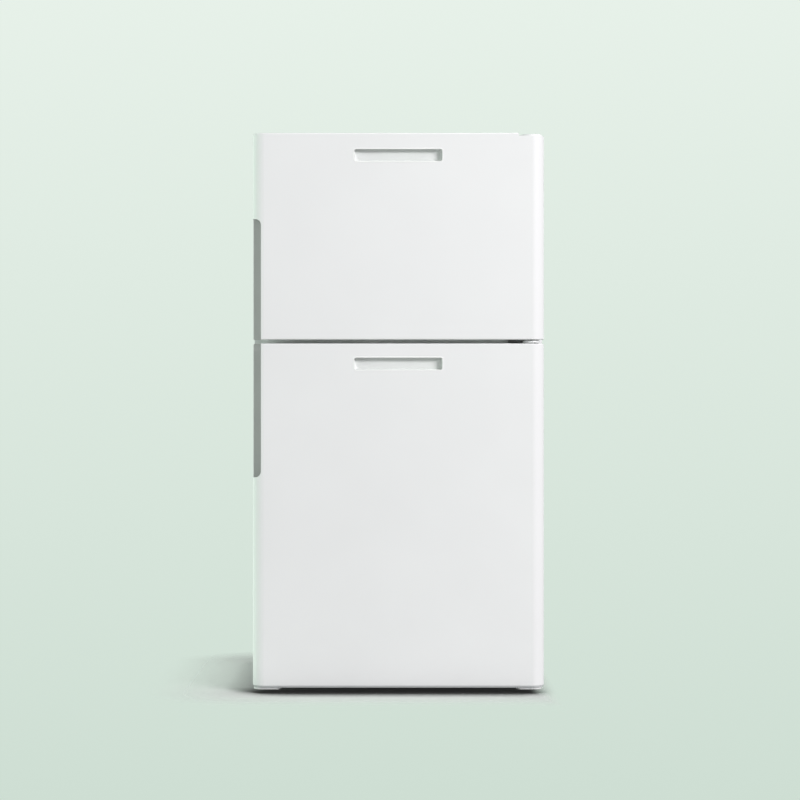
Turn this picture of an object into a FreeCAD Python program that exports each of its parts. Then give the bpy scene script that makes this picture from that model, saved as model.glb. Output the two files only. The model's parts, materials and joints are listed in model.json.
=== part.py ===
import FreeCAD, Part
import math
import os

# Two-door refrigerator, freezer above and fridge below, both doors hinged on the right.
# Origin on the floor in the middle of the footprint, +X towards the hinges, -Y towards the
# door fronts, +Z up. Every size is in millimetres.

# Whole object
WIDTH = 600.0
DEPTH = 610.0
HEIGHT = 1150.0
FLOOR_GAP = 12.0             # floor to the trim under the lower door

# Clearances
FIT = 0.1                    # between pieces that are fixed together
SLIDE = 0.3                  # under a piece that slides or rolls
PIN_PLAY = 0.08              # round a hinge pin, shaft or axle
PAST = 1.0                   # how far a cut runs past the face it opens

# Doors
DOOR_THICK = 58.0            # front face to the back of the inner panel
DOOR_GAP = 8.0               # between the two doors
UPPER_SKIN_H = 424.0
CORNER_R = 26.0              # upright front corners
EDGE_R = 2.5                 # rolled top and bottom edges of the skin
SKIN = 1.0
FOLD = 14.0                  # skin folded over the door's top and bottom
CAP_T = 12.0                 # plastic end caps
CAP_DROP = 0.5               # end cap below the rolled edge
CAP_LIP = 4.0                # bottom cap showing under the lower skin
LIP_INSET = 1.5
CAP_BOSS_R = 12.0
CAP_BOSS_H = 16.0
PANEL_T = 2.0                # formed inner panel
PANEL_INSET = 0.5
DIKE_W = 25.0                # hollow rim that stands into the cabinet
DIKE_DEPTH = 35.0
DIKE_CLEAR = 6.0             # rim to the cabinet's lining
DIKE_R = 10.0
GASKET_W = 14.0
GASKET_OFFSET = 4.0          # lining to the inner edge of the gasket
GASKET_R = 3.0

# Pull slots and side grips
SLOT_W = 181.0
SLOT_H = 25.0
SLOT_R = 4.0
SLOT_DEPTH = 15.0
SLOT_UNDERCUT = 10.0
UPPER_SLOT_DROP = 33.0       # door top to slot top
LOWER_SLOT_DROP = 29.0
CUP_WALL = 2.0
GRIP_W = 18.0                # notch in from the door's left side
GRIP_DEPTH = 44.0
GRIP_UNDERCUT = 14.0
GRIP_END_R = 13.0
GRIP_WALL = 2.0
UPPER_GRIP_L = 248.0
LOWER_GRIP_L = 275.0

# Door racks
RACK_DEPTH = 115.0
RACK_H = 140.0
BIN_DEPTH = 90.0
BIN_H = 75.0
BIN_DROP = 58.0              # below the rim's upper corners
BIN_PITCH = 150.0            # from one bin down to the next
POCKET_DEPTH = 90.0
POCKET_H = 75.0
POCKET_RAISE = 20.0          # above the rim's lower corners
BIN_WALL = 3.0
BIN_R = 22.0

# Cabinet
CABINET_INSET = 1.0          # cabinet side inside the door's side
CABINET_FLOOR = 20.0         # floor to the underside of the base pan
GASKET_GAP = 12.0            # inner panel to the cabinet's front
BUMPER = 6.0
TABLE_T = 20.0
TABLE_DROP = 2.0             # table top below the door's top
TABLE_R = 10.0
SHEET = 1.0
PAN_T = 1.5
SIDE_WALL = 46.0             # outside of the steel to inside of the lining
TOP_WALL = 42.0
FLOOR_WALL = 42.0
BACK_WALL = 46.0
DIVIDER = 66.0
LINER_T = 2.0
LINER_R = 12.0
LINER_FLANGE = 4.0
LEDGE = 8.0
LEDGE_H = 4.0
MACHINE_DEPTH = 170.0
MACHINE_H = 190.0
STEP_WALL = 36.0             # insulation round the machine room
BACK_OVERLAP = 8.0           # back panel below the machine room's roof

# Hinges
PIN_R = 5.0
PIN_L = 12.0
HINGE_T = 3.0
HINGE_DROP = 2.0             # hinge arm below the door's top
HINGE_CLEAR = 0.5            # hinge plate to the door
HINGE_NOSE_R = 22.0
HINGE_STEP_SIDE = 5.0        # hinge arm to the side of the step in the door
HINGE_BASE_L = 60.0
HINGE_RISER = 4.0            # cabinet front to the upper hinge's upright
NOTCH_SIDE = 18.0            # room beside the hinge in the table top
NOTCH_D = 76.0
COVER_WALL = 2.0
MIDDLE_T = 4.0
MIDDLE_NOSE_R = 17.0
PLATE_T = 3.5                # lower hinge and foot bracket
PLATE_FRONT = 5.0            # plate behind the door's front
PLATE_R = 20.0
WING_T = 2.0                 # flange screwed to the cabinet's front
WING_LEFT = 31.0             # hinge axis to the flange's two sides
WING_RIGHT = 21.0
WING_CLEAR = 2.0             # flange to the gaskets
LOWER_WING_H = 30.0
BRACKET_W = 57.0
BRACKET_INSET = 2.0
SCREW_R = 2.0
SCREW_L = 12.0
SCREW_HEAD_R = 4.0
SCREW_EDGE = 7.0             # screw to the flange's edge
SCREW_SPREAD = 12.0          # between screws in a row

# Feet and rollers
FOOT_R = 18.0
FOOT_T = 7.0
FOOT_CHAMFER = 2.0
FOOT_INSET = 37.0
FOOT_SETBACK = 35.0
STEM_R = 5.0
STEM_SPARE = 10.0            # stem above its boss
BOSS_R = 9.0
BOSS_H = 12.0
ROLLER_R = 9.0
ROLLER_W = 14.0
ROLLER_INSET = 37.0
ROLLER_FROM_BACK = 29.0
AXLE_R = 3.5
FORK_T = 2.0
FORK_ROOM = 0.5
FORK_HALF = 7.0              # half the fork's length along the cabinet

# Machine room
COMPRESSOR_R = 60.0
COMPRESSOR_H = 125.0
COMPRESSOR_FROM_SIDE = 149.0
DOME_H = 40.0
BELLY_H = 18.0
BELLY_R = 45.0
SOLE_W = 190.0               # compressor's sole plate
SOLE_D = 130.0
SOLE_T = 3.0
MOUNT_R = 12.0
MOUNT_H = 14.0
MOUNT_EDGE = 16.0
RELAY_W = 30.0
RELAY_D = 44.0
RELAY_H = 50.0
RELAY_Z = 55.0
COIL_R = 2.5
COIL_PITCH = 20.0
COIL_RUNS = 6
COIL_SIDE = 15.0
COIL_SETBACK = 40.0
PIPE_R = 3.0
PIPE_BEND = 9.0
SUCTION_R = 4.0
CAPILLARY_R = 1.5
DISCHARGE_Z = 116.0
PIPE_RUN = 24.0
PIPE_CLEAR = 12.0            # pipes to the compressor's sole
DRIER_R = 9.0
DRIER_Z = 80.0
DRIER_L = 70.0
DRIER_SETBACK = 14.5
TRAY_W = 258.0
TRAY_D = 110.0
TRAY_H = 35.0
TRAY_Z = 150.0
TRAY_WALL = 2.0
TRAY_SIDE = 10.0
COVER_T = 1.5
LOUVRE_W = 210.0
LOUVRE_H = 5.0
LOUVRE_PITCH = 14.0
LOUVRE_ROWS = 9
LOUVRE_GAP = 40.0
BUMPER_R = 12.0
BUMPER_INSET = 60.0
BUMPER_MARGIN = 70.0
GLAND_R = 12.0
GLAND_NECK_R = 8.0
GLAND_BORE_R = 4.0
GLAND_BORE_L = 4.0
GLAND_T = 2.0
GLAND_INSET = 28.0
GLAND_Z = 45.0

# Freezer fittings
DUCT_DEPTH = 63.0            # air space behind the duct cover
DUCT_T = 3.0
GRILLE_H = 6.0
GRILLE_PITCH = 13.0
GRILLE_BARS = 7
RETURN_W = 12.0
RETURN_H = 46.0
RETURN_PITCH = 40.0
RETURN_SLOTS = 9
RETURN_RAISE = 22.0
FAN_DROP = 100.0             # freezer ceiling to the fan's axis
FAN_R = 44.0
FAN_HUB_R = 14.0
FAN_HUB_L = 18.0
FAN_BLADES = 5
FAN_BLADE_T = 1.5
FAN_PITCH = 32.0             # degrees
FAN_GAP = 9.0                # duct cover to the fan
MOTOR_R = 24.0
MOTOR_L = 28.0
SHAFT_R = 3.0
EVAPORATOR_W = 360.0
EVAPORATOR_D = 52.0
EVAPORATOR_H = 110.0
EVAPORATOR_RAISE = 15.0
EVAPORATOR_TUBE_R = 4.0
EVAPORATOR_ROWS = 4
FIN_T = 0.8
FIN_COUNT = 24
FREEZER_SHELF_RAISE = 170.0
FREEZER_SHELF_T = 6.0
SHELF_SLOT_W = 8.0
SHELF_SLOT_PITCH = 24.0
SHELF_SLOTS = 17
SHELF_RIM = 24.0
DRAWER_H = 124.0
DRAWER_SIDE = 28.0
DRAWER_BACK_GAP = 50.0
DRAWER_WALL = 2.5
DRAWER_R = 10.0
PULL_W = 120.0               # lip on a drawer's front
PULL_D = 8.0
PULL_H = 9.0
PULL_DROP = 14.0

# Fridge fittings
DOOR_ROOM = 14.0             # door racks to shelves and drawers
GLASS_T = 4.0
GLASS_SIDE = 3.0             # glass edge to the lining
SHELF_1_RAISE = 328.0
SHELF_2_DROP = 159.0         # below the fridge's ceiling
SHELF_BACK_GAP = 65.0
CRISPER_GLASS_BEAR = 40.0    # glass on the step over the machine room
TRIM_FRONT = 6.0
TRIM_LAP = 6.0
TRIM_T = 3.0
CRISPER_SIDE = 17.0
CRISPER_BACK_GAP = 7.0
CRISPER_TOP_GAP = 6.0
CONTROL_W = 180.0
CONTROL_D = 95.0
CONTROL_H = 50.0
CONTROL_BACK_GAP = 8.0
CONTROL_WALL = 3.0
CONTROL_R = 8.0
DIAL_R = 18.0
DIAL_L = 14.0
DIAL_X = 45.0
DIAL_GROOVE = 2.0
LENS_W = 70.0
LENS_H = 30.0
LENS_T = 4.0
LENS_X = -45.0
LENS_R = 6.0
SWITCH_INSET = 38.0
SWITCH_W = 30.0
SWITCH_L = 40.0
SWITCH_H = 24.0
SWITCH_SETBACK = 7.0         # behind the door's rim
PLUNGER_R = 3.0
PLUNGER_L = 22.0
PLUNGER_BORE_L = 24.0

# Places that follow from the sizes above
SIDE = WIDTH / 2 - CABINET_INSET
DOOR_SIDE = WIDTH / 2
FRONT = -DEPTH / 2
DOOR_BACK = FRONT + DOOR_THICK
PANEL_FRONT = DOOR_BACK - PANEL_T
CABINET_FRONT = DOOR_BACK + GASKET_GAP
CABINET_BACK = DEPTH / 2 - BUMPER
CABINET_TOP = HEIGHT - TABLE_DROP - TABLE_T
UPPER_Z = (HEIGHT - UPPER_SKIN_H, HEIGHT)
LOWER_Z = (FLOOR_GAP + CAP_LIP, UPPER_Z[0] - DOOR_GAP)
GAP_MID = (LOWER_Z[1] + UPPER_Z[0]) / 2
OPEN_X = SIDE - SIDE_WALL
INNER_BACK = CABINET_BACK - BACK_WALL
FREEZER_Z = (GAP_MID + DIVIDER / 2, CABINET_TOP - TOP_WALL)
FRIDGE_Z = (CABINET_FLOOR + FLOOR_WALL, GAP_MID - DIVIDER / 2)
AXIS_X = DOOR_SIDE - CORNER_R
AXIS_Y = FRONT + CORNER_R
ARM_Z = (HEIGHT - HINGE_DROP - HINGE_T, HEIGHT - HINGE_DROP)
STEP_FLOOR = ARM_Z[0] - HINGE_CLEAR
STEP_X = AXIS_X - HINGE_NOSE_R - HINGE_STEP_SIDE
MACHINE_FRONT = CABINET_BACK - MACHINE_DEPTH
MACHINE_TOP = CABINET_FLOOR + MACHINE_H
PAN_TOP = CABINET_FLOOR + PAN_T
LINER_STEP_Y = MACHINE_FRONT - STEP_WALL
LINER_STEP_Z = MACHINE_TOP + STEP_WALL
DUCT_Y = INNER_BACK - DUCT_DEPTH
DIKE_TIP = DOOR_BACK + DIKE_DEPTH
SHELF_FRONT = DOOR_BACK + RACK_DEPTH + DOOR_ROOM
FREEZER_FRONT = DOOR_BACK + POCKET_DEPTH + DOOR_ROOM
RACK_Z = FRIDGE_Z[0] + DIKE_CLEAR + DIKE_W + DIKE_R
TOP_BIN_Z = FRIDGE_Z[1] - DIKE_CLEAR - DIKE_W - DIKE_R - BIN_DROP - BIN_H
POCKET_Z = FREEZER_Z[0] + DIKE_CLEAR + DIKE_W + DIKE_R + POCKET_RAISE
FREEZER_SHELF_Z = FREEZER_Z[0] + FREEZER_SHELF_RAISE
FAN_Z = FREEZER_Z[1] - FAN_DROP
COMPRESSOR_X = SIDE - COMPRESSOR_FROM_SIDE
COMPRESSOR_Y = (MACHINE_FRONT + CABINET_BACK) / 2
SOLE_Z = PAN_TOP + MOUNT_H
COMPRESSOR_Z = SOLE_Z + SOLE_T


def point(x, y, z):
    """A place in the object's frame."""
    return FreeCAD.Vector(x, y, z)


def box(x, y, z):
    """A block from three (low, high) pairs."""
    return Part.makeBox(x[1] - x[0], y[1] - y[0], z[1] - z[0], point(x[0], y[0], z[0]))


def round_bar(start, direction, radius, length):
    """A cylinder from its start point along a direction."""
    return Part.makeCylinder(radius, length, point(*start), point(*direction))


def corner_arc(before, corner, after, radius):
    """Start, middle and end of the arc that rounds a corner."""
    back = (before - corner).normalize()
    ahead = (after - corner).normalize()
    half = back.getAngle(ahead) / 2
    reach = radius / math.tan(half)
    inward = (back + ahead).normalize()
    middle = corner + inward * (radius / math.sin(half) - radius)
    return corner + back * reach, middle, corner + ahead * reach


def join_edges(stops):
    """Lines between (start, middle, end) stops, with an arc at each stop that has a middle."""
    edges = []
    for here, following in zip(stops, stops[1:]):
        if here[1] is not None:
            edges.append(Part.Arc(*here).toShape())
        if here[2].distanceToPoint(following[0]) > FIT / 100:
            edges.append(Part.makeLine(here[2], following[0]))
    return edges


def prism(outline, plane, low, high):
    """A flat outline of (u, v, corner radius) in a plane, pushed from low to high."""
    lay = {"xy": (lambda u, v: point(u, v, low), point(0, 0, high - low)),
           "xz": (lambda u, v: point(u, low, v), point(0, high - low, 0)),
           "yz": (lambda u, v: point(low, u, v), point(high - low, 0, 0))}
    place, push = lay[plane]
    corners = [place(u, v) for u, v, radius in outline]
    stops = []
    for i, (u, v, radius) in enumerate(outline):
        if radius > 0:
            stops.append(corner_arc(corners[i - 1], corners[i], corners[(i + 1) % len(corners)], radius))
        else:
            stops.append((corners[i], None, corners[i]))
    face = Part.Face(Part.Wire(Part.__sortEdges__(join_edges(stops + stops[:1]))))
    return face.extrude(push)


def rectangle(u, v, radius=0.0):
    """Outline of a rectangle from two (low, high) pairs, all corners alike."""
    return [(u[0], v[0], radius), (u[1], v[0], radius), (u[1], v[1], radius), (u[0], v[1], radius)]


def grown(span, by):
    """A (low, high) pair moved out at both ends."""
    return (span[0] - by, span[1] + by)


def both_sides(half):
    """A (low, high) pair about the middle of the width."""
    return (-half, half)


def about(middle, size):
    """A (low, high) pair about any middle."""
    return (middle - size / 2, middle + size / 2)


def fused(shapes):
    """One solid from overlapping or touching shapes."""
    return shapes[0].multiFuse(shapes[1:]).removeSplitter()


def tube(points, radius, bend):
    """A round tube through points, all its corners bent to one radius."""
    stops = [(points[0], None, points[0])]
    for before, corner, after in zip(points, points[1:], points[2:]):
        stops.append(corner_arc(before, corner, after, bend))
    stops.append((points[-1], None, points[-1]))
    path = Part.Wire(join_edges(stops))
    ring = Part.Wire(Part.makeCircle(radius, points[0], points[1] - points[0]))
    return path.makePipeShell([ring], True, False)


def screw(place, direction, spare=0.0):
    """A countersunk screw with its flat head at a place, or with spare its hole."""
    start = point(*place)
    along = point(*direction)
    head = Part.makeCone(SCREW_HEAD_R + spare, SCREW_R + spare, WING_T, start, along)
    shank = Part.makeCylinder(SCREW_R + spare, SCREW_L + spare, start, along)
    return head.fuse(shank)


def drilled(shape, screws):
    """A shape with a hole for each (place, direction) screw."""
    return shape.cut([screw(place, direction, FIT) for place, direction in screws])


# Screws: each is its head's place and the way it points
RISER_Y = CABINET_FRONT + HINGE_RISER
UPPER_SCREWS = []
for along, across in ((1, -1), (1, 1), (3, 0)):
    spot = (AXIS_X + across * SCREW_SPREAD, RISER_Y + HINGE_T + along * SCREW_SPREAD, CABINET_TOP + HINGE_T)
    UPPER_SCREWS.append((spot, (0, 0, -1)))

WING_X = (AXIS_X - WING_LEFT, AXIS_X + WING_RIGHT)
WING_HALF = DIVIDER / 2 - GASKET_OFFSET - GASKET_W - WING_CLEAR
PLATE_Z = (FLOOR_GAP - HINGE_CLEAR - PLATE_T, FLOOR_GAP - HINGE_CLEAR)
LOWER_WING_Z = (PLATE_Z[0], PLATE_Z[0] + LOWER_WING_H)
BRACKET_X = (-DOOR_SIDE + BRACKET_INSET, -DOOR_SIDE + BRACKET_INSET + BRACKET_W)
WING_SCREW_X = WING_X[0] + SCREW_EDGE
WING_FACE = CABINET_FRONT - WING_T
MIDDLE_SCREWS = [((WING_SCREW_X, WING_FACE, z), (0, 1, 0)) for z in about(GAP_MID, SCREW_SPREAD)]
LOWER_SCREW_Z = LOWER_WING_Z[1] - SCREW_EDGE
LOWER_SCREWS = [((x, WING_FACE, LOWER_SCREW_Z), (0, 1, 0)) for x in
                (WING_SCREW_X, WING_SCREW_X + SCREW_SPREAD)]
BRACKET_SCREWS = [((x, WING_FACE, LOWER_SCREW_Z), (0, 1, 0)) for x in
                  (BRACKET_X[0] + 2 * SCREW_EDGE, BRACKET_X[1] - SCREW_EDGE)]
FRONT_SCREWS = MIDDLE_SCREWS + LOWER_SCREWS + BRACKET_SCREWS
ALL_SCREWS = UPPER_SCREWS + FRONT_SCREWS


def door_outline(inset, back):
    """Level section of a door, its front corners rounded, moved in by a wall."""
    radius = CORNER_R - inset
    half = DOOR_SIDE - inset
    front = FRONT + inset
    return [(-half, back, 0), (-half, front, radius), (half, front, radius), (half, back, 0)]


def rolled(shape, radius, back):
    """A door block with its top and bottom edges rounded, except along its back."""
    low = shape.BoundBox.ZMin
    high = shape.BoundBox.ZMax
    ends = [edge for edge in shape.Edges
            if edge.BoundBox.ZLength < FIT
            and (abs(edge.CenterOfMass.z - low) < FIT or abs(edge.CenterOfMass.z - high) < FIT)
            and edge.CenterOfMass.y < back - FIT]
    return shape.makeFillet(radius, ends)


def hinge_step(inset):
    """Space over the lowered corner of the upper door, where the hinge arm lies."""
    return box((STEP_X - inset, DOOR_SIDE + PAST), (FRONT - PAST, CABINET_FRONT),
               (STEP_FLOOR - inset, HEIGHT + PAST))


def grip_outline(right, end_shift, end, edge, radius):
    """Upright section of a side grip, from the door's edge to its rounded end."""
    away = 1 if end > edge else -1
    far = end + away * end_shift
    left = -DOOR_SIDE - PAST
    return [(left, edge, 0), (right, edge, 0), (right, far, radius), (left, far, 0)]


def make_door(span, room, slot_drop, grip_end, grip_edge, stepped, lip):
    """The pieces of one door: skin, end caps, foam, inner panel, gasket, pull cup and side grip."""
    low, high = span
    outer = rolled(prism(door_outline(0, PANEL_FRONT), "xy", low, high), EDGE_R, PANEL_FRONT)
    inner_back = PANEL_FRONT + PAST
    inner = prism(door_outline(SKIN, inner_back), "xy", low + SKIN, high - SKIN)
    inner = rolled(inner, EDGE_R - SKIN, inner_back)
    cavity = prism(door_outline(SKIN, inner_back), "xy", low - PAST, high + PAST)
    behind_fold = box(both_sides(DOOR_SIDE), (FRONT + FOLD, inner_back + PAST), (low - PAST, high + PAST))
    ends_open = cavity.common(behind_fold)
    if stepped:
        outer = outer.cut(hinge_step(0))
        inner = inner.cut(hinge_step(SKIN))

    # Pull slot: an opening in the skin with a moulded cup behind it, deeper above the opening
    slot_x = both_sides(SLOT_W / 2)
    slot_z = (high - slot_drop - SLOT_H, high - slot_drop)
    slot = prism(rectangle(slot_x, slot_z, SLOT_R), "xz", FRONT - PAST, FRONT + SLOT_DEPTH)
    hook_z = (slot_z[0], slot_z[1] + SLOT_UNDERCUT)
    cup_front = FRONT + SKIN + FIT
    hook = prism(rectangle(slot_x, hook_z, SLOT_R), "xz", cup_front + CUP_WALL, FRONT + SLOT_DEPTH)
    cup_outline = rectangle(grown(slot_x, CUP_WALL), grown(hook_z, CUP_WALL), SLOT_R + CUP_WALL)
    cup = prism(cup_outline, "xz", cup_front, FRONT + SLOT_DEPTH + CUP_WALL).cut([slot, hook])
    cup_grow = CUP_WALL + FIT
    cup_room_outline = rectangle(grown(slot_x, cup_grow), grown(hook_z, cup_grow), SLOT_R + CUP_WALL)
    cup_room = prism(cup_room_outline, "xz", FRONT, FRONT + SLOT_DEPTH + CUP_WALL + FIT)

    # Side grip: a notch in the left edge, with a finger channel that runs in behind the skin
    notch_x = -DOOR_SIDE + GRIP_W
    channel_x = notch_x + GRIP_UNDERCUT
    grip_back = FRONT + GRIP_DEPTH
    notch = prism(grip_outline(notch_x, 0, grip_end, grip_edge, GRIP_END_R), "xz", FRONT - PAST, grip_back)
    channel = prism(grip_outline(channel_x, 0, grip_end, grip_edge, GRIP_END_R), "xz",
                    cup_front + GRIP_WALL, grip_back)
    grip_block = grip_outline(channel_x + GRIP_WALL, GRIP_WALL, grip_end, grip_edge, GRIP_END_R + GRIP_WALL)
    grip = prism(grip_block, "xz", cup_front, grip_back + GRIP_WALL)
    inside_skin = prism(door_outline(SKIN + FIT, PANEL_FRONT), "xy", low, high)
    under_fold = sorted((grip_edge, grip_edge + math.copysign(EDGE_R + FIT, grip_end - grip_edge)))
    fold_room = box((-DOOR_SIDE, 0), (FRONT, FRONT + FOLD + FIT), under_fold)
    grip = grip.common(inside_skin).cut([notch, channel, fold_room])
    grip_room_outline = grip_outline(channel_x + GRIP_WALL + FIT, GRIP_WALL + FIT, grip_end, grip_edge,
                                     GRIP_END_R + GRIP_WALL)
    grip_room = prism(grip_room_outline, "xz", FRONT, grip_back + GRIP_WALL + FIT)

    skin = outer.cut([inner, ends_open, slot, notch])

    # End caps: plates inside the folded skin, with a boss for each hinge pin
    caps = []
    for end, inward in ((low, 1), (high, -1)):
        lipped = lip and inward > 0
        drop = 0 if lipped else CAP_DROP
        deep = sorted((end + inward * (EDGE_R + FIT), end + inward * CAP_T))
        shallow = sorted((end + inward * drop, end + inward * CAP_T))
        boss_z = sorted((end + inward * CAP_T, end + inward * (CAP_T + CAP_BOSS_H)))
        plate = prism(door_outline(SKIN + FIT, PANEL_FRONT - FIT), "xy", *deep)
        rim = prism(door_outline(SKIN + FIT, PANEL_FRONT - FIT), "xy", *shallow)
        rim = rim.common(box(both_sides(DOOR_SIDE), (FRONT + FOLD + FIT, PANEL_FRONT), shallow))
        boss = round_bar((AXIS_X, AXIS_Y, boss_z[0]), (0, 0, 1), CAP_BOSS_R, CAP_BOSS_H)
        pieces = [plate, rim, boss]
        if lipped:
            pieces.append(prism(door_outline(LIP_INSET, PANEL_FRONT - FIT), "xy", end - CAP_LIP, end))
        cap = fused(pieces)
        if stepped and inward < 0:
            cap = cap.cut(hinge_step(SKIN + FIT))
        bore_z = (end - CAP_LIP - PAST, end + CAP_T + PIN_L)
        if inward < 0:
            bore_z = (end - CAP_T - PIN_L, end + PAST)
        bore = round_bar((AXIS_X, AXIS_Y, bore_z[0]), (0, 0, 1), PIN_R + PIN_PLAY, bore_z[1] - bore_z[0])
        caps.append(cap.cut([bore, grip_room]))

    # Inner panel with its hollow rim, and the foam between it and the skin
    panel_x = both_sides(DOOR_SIDE - PANEL_INSET)
    plate = prism(rectangle(panel_x, grown(span, -PANEL_INSET)), "xz", PANEL_FRONT, DOOR_BACK)
    rim_x = both_sides(OPEN_X - DIKE_CLEAR)
    rim_z = grown(room, -DIKE_CLEAR)

    def rim_ring(wall, back, tip):
        """The rim's ring, drawn in on every side by a wall."""
        outside = prism(rectangle(grown(rim_x, -wall), grown(rim_z, -wall), DIKE_R), "xz", back, tip)
        inset = DIKE_W - wall
        return outside.cut(prism(rectangle(grown(rim_x, -inset), grown(rim_z, -inset), DIKE_R), "xz",
                                 back - PAST, tip + PAST))

    ring = rim_ring(0, PANEL_FRONT, DIKE_TIP)
    hollow = rim_ring(PANEL_T, PANEL_FRONT - PAST, DIKE_TIP - PANEL_T)
    panel = fused([plate, ring]).cut(hollow)
    if stepped:
        panel = panel.cut(hinge_step(FIT))

    foam_z = (low + CAP_T + FIT, high - CAP_T - FIT)
    core = prism(door_outline(SKIN + FIT, PANEL_FRONT - FIT), "xy", *foam_z)
    boss_rooms = []
    for bottom in (foam_z[0], foam_z[1] - CAP_BOSS_H):
        boss_rooms.append(round_bar((AXIS_X, AXIS_Y, bottom), (0, 0, 1), CAP_BOSS_R + FIT, CAP_BOSS_H))
    core = core.cut([cup_room, grip_room] + boss_rooms)
    filling = rim_ring(PANEL_T + FIT, PANEL_FRONT - FIT - PAST, DIKE_TIP - PANEL_T - FIT)
    foam = fused([core, filling])

    seal_x = both_sides(OPEN_X + GASKET_OFFSET)
    seal_z = grown(room, GASKET_OFFSET)
    seal_y = (DOOR_BACK, CABINET_FRONT - SLIDE)
    gasket = prism(rectangle(grown(seal_x, GASKET_W), grown(seal_z, GASKET_W), GASKET_R), "xz", *seal_y)
    gasket = gasket.cut(prism(rectangle(seal_x, seal_z, GASKET_R), "xz", seal_y[0] - PAST, seal_y[1] + PAST))
    return {"skin": skin, "end_caps": Part.makeCompound(caps), "foam": foam, "liner": panel,
            "gasket": gasket, "cup": cup, "grip": grip}


def door_bin(floor, height, depth):
    """An open bin between the door's upright rims, its front corners rounded."""
    half = OPEN_X - DIKE_CLEAR - DIKE_W - FIT
    front = DOOR_BACK + depth
    outside = [(-half, DOOR_BACK, 0), (half, DOOR_BACK, 0), (half, front, BIN_R), (-half, front, BIN_R)]
    inside = half - BIN_WALL
    hollow = [(-inside, DOOR_BACK + BIN_WALL, 0), (inside, DOOR_BACK + BIN_WALL, 0),
              (inside, front - BIN_WALL, BIN_R - BIN_WALL), (-inside, front - BIN_WALL, BIN_R - BIN_WALL)]
    shell = prism(outside, "xy", floor, floor + height)
    return shell.cut(prism(hollow, "xy", floor + BIN_WALL, floor + height + PAST))


def drawer(half, y, z):
    """An open drawer with a lip to pull it by."""
    shell = prism(rectangle(both_sides(half), y, DRAWER_R), "xy", *z)
    hollow = prism(rectangle(both_sides(half - DRAWER_WALL), grown(y, -DRAWER_WALL), DRAWER_R - DRAWER_WALL),
                   "xy", z[0] + DRAWER_WALL, z[1] + PAST)
    pull_z = (z[1] - PULL_DROP - PULL_H, z[1] - PULL_DROP)
    pull = box(both_sides(PULL_W / 2), (y[0] - PULL_D, y[0] + DRAWER_WALL / 2), pull_z)
    return fused([shell.cut(hollow), pull])


def liner(room, step, ledges):
    """A formed plastic lining, open to the front, with ledges for its shelves."""
    wide = both_sides(OPEN_X)
    inside = prism(rectangle(wide, room, LINER_R), "xz", CABINET_FRONT - PAST, INNER_BACK)
    outside = prism(rectangle(grown(wide, LINER_T), grown(room, LINER_T), LINER_R + LINER_T), "xz",
                    CABINET_FRONT, INNER_BACK + LINER_T)
    flange = prism(rectangle(grown(wide, LINER_FLANGE), grown(room, LINER_FLANGE)), "xz",
                   CABINET_FRONT, CABINET_FRONT + LINER_T)
    if step:
        deep = (LINER_STEP_Y, INNER_BACK + BACK_WALL)
        below = (room[0] - FLOOR_WALL, LINER_STEP_Z)
        inside = inside.cut(box(both_sides(SIDE), deep, below))
        outside = outside.cut(box(both_sides(SIDE), (deep[0] + LINER_T, deep[1]),
                                  (below[0], below[1] - LINER_T)))
    pieces = [fused([outside, flange]).cut(inside)]
    for top, front, back in ledges:
        for side in (-1, 1):
            across = sorted((side * (OPEN_X - LEDGE), side * (OPEN_X + LINER_T / 2)))
            pieces.append(box(across, (front, back), (top - LEDGE_H, top)))
    return fused(pieces)


# Cabinet body
shell_x = both_sides(SIDE)
shell_z = (CABINET_FLOOR, CABINET_TOP)
outer_shell = box(shell_x, (CABINET_FRONT, CABINET_BACK), shell_z)
outer_shell = outer_shell.cut([
    box(grown(shell_x, -SHEET), (CABINET_FRONT + SHEET, CABINET_BACK + PAST),
        (CABINET_FLOOR - PAST, CABINET_TOP - SHEET)),
    box(both_sides(OPEN_X + LINER_FLANGE), (CABINET_FRONT - PAST, CABINET_FRONT + 2 * SHEET),
        (FRIDGE_Z[0] - LINER_FLANGE, FREEZER_Z[1] + LINER_FLANGE))])
outer_shell = drilled(outer_shell, ALL_SCREWS)

inside_x = both_sides(SIDE - SHEET - FIT)
panel_low = MACHINE_TOP - BACK_OVERLAP
back_panel = box(inside_x, (CABINET_BACK - SHEET, CABINET_BACK), (panel_low, CABINET_TOP - SHEET - FIT))

foot_y = CABINET_FRONT + FOOT_SETBACK
foot_x = SIDE - FOOT_INSET
pan_y = (CABINET_FRONT + SHEET + FIT, CABINET_BACK - SHEET - FIT)
base_pan = fused([
    box(inside_x, pan_y, (CABINET_FLOOR, PAN_TOP)),
    box(inside_x, (MACHINE_FRONT, MACHINE_FRONT + PAN_T), (CABINET_FLOOR, MACHINE_TOP)),
    box(inside_x, (MACHINE_FRONT, pan_y[1]), (MACHINE_TOP - PAN_T, MACHINE_TOP))]
    + [round_bar((side * foot_x, foot_y, CABINET_FLOOR), (0, 0, 1), BOSS_R, BOSS_H) for side in (-1, 1)])
boss_top = CABINET_FLOOR + BOSS_H
base_pan = base_pan.cut([round_bar((side * foot_x, foot_y, 0), (0, 0, 1), STEM_R + PIN_PLAY, boss_top + PAST)
                         for side in (-1, 1)])

ledge_back = INNER_BACK - SHELF_BACK_GAP
freezer_liner = liner(FREEZER_Z, False, [(FREEZER_SHELF_Z, FREEZER_FRONT, DUCT_Y)])
shelf_tops = (FRIDGE_Z[0] + SHELF_1_RAISE, FRIDGE_Z[1] - SHELF_2_DROP)
fridge_ledges = [(LINER_STEP_Z, SHELF_FRONT, LINER_STEP_Y)]
fridge_ledges += [(top, SHELF_FRONT, ledge_back) for top in shelf_tops]
fridge_liner = liner(FRIDGE_Z, True, fridge_ledges)

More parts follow.
